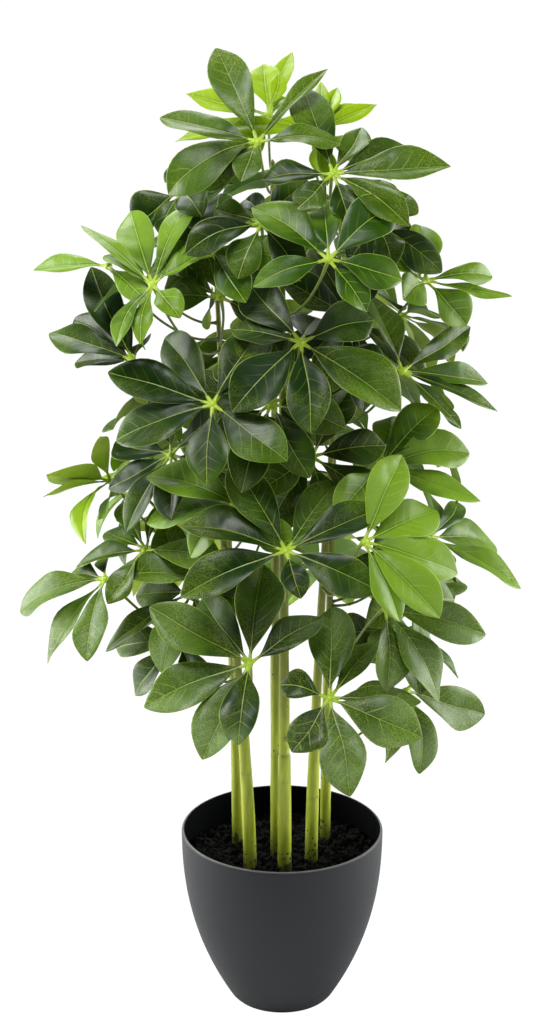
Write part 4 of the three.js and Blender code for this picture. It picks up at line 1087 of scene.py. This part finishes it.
def soil_height(x, y):
    """Height of the soil: 140.5 mm, falling 4 mm to the rim's radius, plus 60 sine waves.

    The waves are 5 to 36 mm long and run all ways, and each is 1.8% of its length high.
    """
    way = x[..., None] * np.cos(wave_turn) + y[..., None] * np.sin(wave_turn)
    shake = (np.sin(2 * math.pi * way / wave_length + wave_phase) * wave_length).sum(-1) * 0.018
    out = np.hypot(x, y) / RIM_RADIUS
    return SOIL_TOP + 0.5 * MM - 4 * MM * out**4 + shake


def soil_skin():
    """Up the pot's wall, 0.5 mm off it, then in over the bumpy top to the middle."""
    wall = np.array([5, 20, 45, 75, 105, 130]) * MM
    reach = pot_radius(wall) - WALL - SOIL_GAP
    edge = pot_radius(SOIL_EDGE) - WALL - SOIL_GAP
    radius = np.concatenate([reach, np.linspace(edge, 1.5 * MM, SOIL_ROWS)])
    angle = np.linspace(0, 2 * math.pi, SOIL_SIDES, endpoint=False)
    x, y = radius[:, None] * np.cos(angle), radius[:, None] * np.sin(angle)
    z = soil_height(x, y)
    z[: len(wall)] = wall[:, None]
    middle = soil_height(np.zeros(1), np.zeros(1))[0]
    return closed_skin(np.stack([x, y, z], axis=-1), (0, 0, wall[0]), (0, 0, middle), tone=np.zeros(x.shape))


def crumb_skins(count, low, high, stretch, steep, tone):
    """Crumbs of 9 faces: two rings of three points and two ends, each pushed about and turned at random.

    low and high are sizes in mm, and stretch makes a crumb longer. steep is 1 for crumbs that may stand on
    end, and less for fibres that lie nearly flat, because it takes height from their long axis.
    """
    radius = (pot_radius(SOIL_EDGE) - WALL - 3 * MM) * np.sqrt(soil_random.uniform(0, 1, count))
    angle = soil_random.uniform(0, 2 * math.pi, count)
    x, y = radius * np.cos(angle), radius * np.sin(angle)
    size = soil_random.uniform(low, high, count) * MM
    centre = np.stack([x, y, soil_height(x, y) + 0.25 * size], axis=-1)
    turn = np.radians([0, 120, 240])
    ring = np.stack([np.cos(turn), np.sin(turn)], axis=-1)
    shape = np.zeros((8, 3))
    shape[:3, :2], shape[:3, 2] = ring, -0.5
    shape[3:6, :2], shape[3:6, 2] = ring, 0.5
    shape[6:, 2] = (-1, 1)
    shape[:, 2] *= stretch
    points = shape * soil_random.uniform(0.6, 1.2, (count, 8, 1)) * size[:, None, None] / 2
    basis = np.linalg.qr(soil_random.normal(size=(count, 3, 3)))[0]
    basis *= np.sign(np.linalg.det(basis))[:, None, None]
    basis[:, 2, 2] *= steep
    points = points @ basis.transpose(0, 2, 1) + centre[:, None]
    tones = np.full((2, 3), tone)
    return [closed_skin(body[:6].reshape(2, 3, 3), body[6], body[7], tone=tones) for body in points]


# %% [markdown]
# ## Finish of the soil
# Damp peat is nearly black and hardly shines. One noise gives both its mottle and its grainy relief, and the
# tone of each crumb or fibre makes it paler.

# %% Material: potting peat, and the soil
PEAT_GRAIN_SIZE = 1.4286 * MM


def soil_material():
    """Peat: near black and fully rough, with pale fibres and a grain of 1.4 mm."""
    material, tree, output = new_material("potting_peat")
    place = add_node(tree, "ShaderNodeTexCoord").outputs["Object"]
    tone = add_node(tree, ATTRIBUTE, attribute_name="tone").outputs["Fac"]
    grain = add_node(
        tree, NOISE, {"Scale": 1 / PEAT_GRAIN_SIZE, "Detail": 5}, {"Vector": place}
    ).outputs["Fac"]
    mottle = add_node(
        tree, MAP_RANGE, {"From Min": 0.4, "From Max": 0.75}, {"Value": grain}
    ).outputs["Result"]
    colour = add_node(
        tree, MIX, {A: linear("#020304"), B: linear("#0c0d0e")}, {FACTOR: mottle}, data_type="RGBA"
    ).outputs[MIXED]
    colour = painted(tree, colour, ("#55524a", tone))
    bump = add_node(tree, BUMP, {"Strength": 0.9, "Distance": 0.8 * MM}, {"Height": grain}).outputs[0]
    dull = {"Roughness": 0.95, "Specular IOR Level": 0.15}
    shader = add_node(tree, PRINCIPLED, dull, {"Base Color": colour, "Normal": bump})
    tree.links.new(shader.outputs[0], output.inputs["Surface"])
    return material


peat_finish = soil_material()
crumbs = crumb_skins(count=1500, low=1.8, high=8.0, stretch=1.0, steep=1.0, tone=0.03)
fibres = crumb_skins(count=90, low=0.8, high=1.3, stretch=5.0, steep=0.15, tone=0.5)
for name, skins in (("soil_body", [soil_skin()]), ("soil_crumbs", crumbs + fibres)):
    piece = make_piece(name, skins, peat_finish, ("tone",))
    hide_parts("soil")
    print(name, "faces", len(piece.data.polygons))

# %% [markdown]
# ## Studio
# A catalogue picture has a white floor and a white surround. A broad lamp stands high in front on the left
# and a weaker one on the right, and three lamps behind brighten the rims of pot and leaves: one low on each
# side and one high. The camera sees the surround as white, but its light on the plant is faint, so that the
# lamps can shape the leaves.

# %% Floor, lamps and surround
FLOOR_GLOW = 1.08
FLOOR_GLOW_SHARE = 0.94
SURROUND_LIGHT = 0.035
scene = bpy.context.scene
scene.view_settings.view_transform = "Standard"
floor_mesh = bpy.data.meshes.new("floor")
floor_mesh.from_pydata([(-6, -4, 0), (6, -4, 0), (6, 8, 0), (-6, 8, 0)], [], [(0, 1, 2, 3)])
floor = bpy.data.objects.new("floor", floor_mesh)
scene.collection.objects.link(floor)
floor_material, tree, output = new_material("white_paper")
paper = add_node(tree, PRINCIPLED, {"Base Color": (0.6, 0.6, 0.6, 1), "Roughness": 0.9})
glow = add_node(tree, "ShaderNodeEmission", {"Strength": FLOOR_GLOW})
seen = add_node(tree, "ShaderNodeLightPath").outputs["Is Camera Ray"]
lit = add_node(tree, MATH, {1: FLOOR_GLOW_SHARE}, {0: seen}, operation="MULTIPLY").outputs[0]
floor_shader = add_node(tree, "ShaderNodeMixShader", links={0: lit, 1: paper.outputs[0], 2: glow.outputs[0]})
tree.links.new(floor_shader.outputs[0], output.inputs["Surface"])
floor_mesh.materials.append(floor_material)


def add_lamp(name, place, target, size, power):
    """A square area lamp at a place, looking at a target."""
    light = bpy.data.lights.new(name, "AREA")
    light.size = size
    light.energy = power
    lamp = bpy.data.objects.new(name, light)
    lamp.location = place
    way = np.array(place) - np.array(target)
    lean = math.acos(way[2] / np.linalg.norm(way))
    lamp.rotation_euler = (lean, 0, math.atan2(way[1], way[0]) + math.pi / 2)
    scene.collection.objects.link(lamp)


add_lamp("key", (-0.7, -1.1, 2.6), (0, 0, 0.5), 1.0, 64)
add_lamp("fill", (1.5, -1.8, 1.3), (0, 0, 0.4), 1.6, 16)
add_lamp("left_rim", (-1.7, 0.5, 0.7), (0, 0, 0.3), 1.3, 46)
add_lamp("right_rim", (1.7, 0.5, 0.7), (0, 0, 0.3), 1.3, 46)
add_lamp("top_rim", (-0.3, 1.5, 2.0), (0, 0, 0.7), 1.4, 34)
world = bpy.data.worlds.new("surround")
scene.world = world
world.use_nodes = True
surround = world.node_tree.nodes["Background"]
surround.inputs["Color"].default_value = (1, 1, 1, 1)
seen = add_node(world.node_tree, "ShaderNodeLightPath").outputs["Is Camera Ray"]
strength = add_node(world.node_tree, MAP_RANGE, {"To Min": SURROUND_LIGHT, "To Max": 1.0}, {"Value": seen})
world.node_tree.links.new(strength.outputs["Result"], surround.inputs["Strength"])
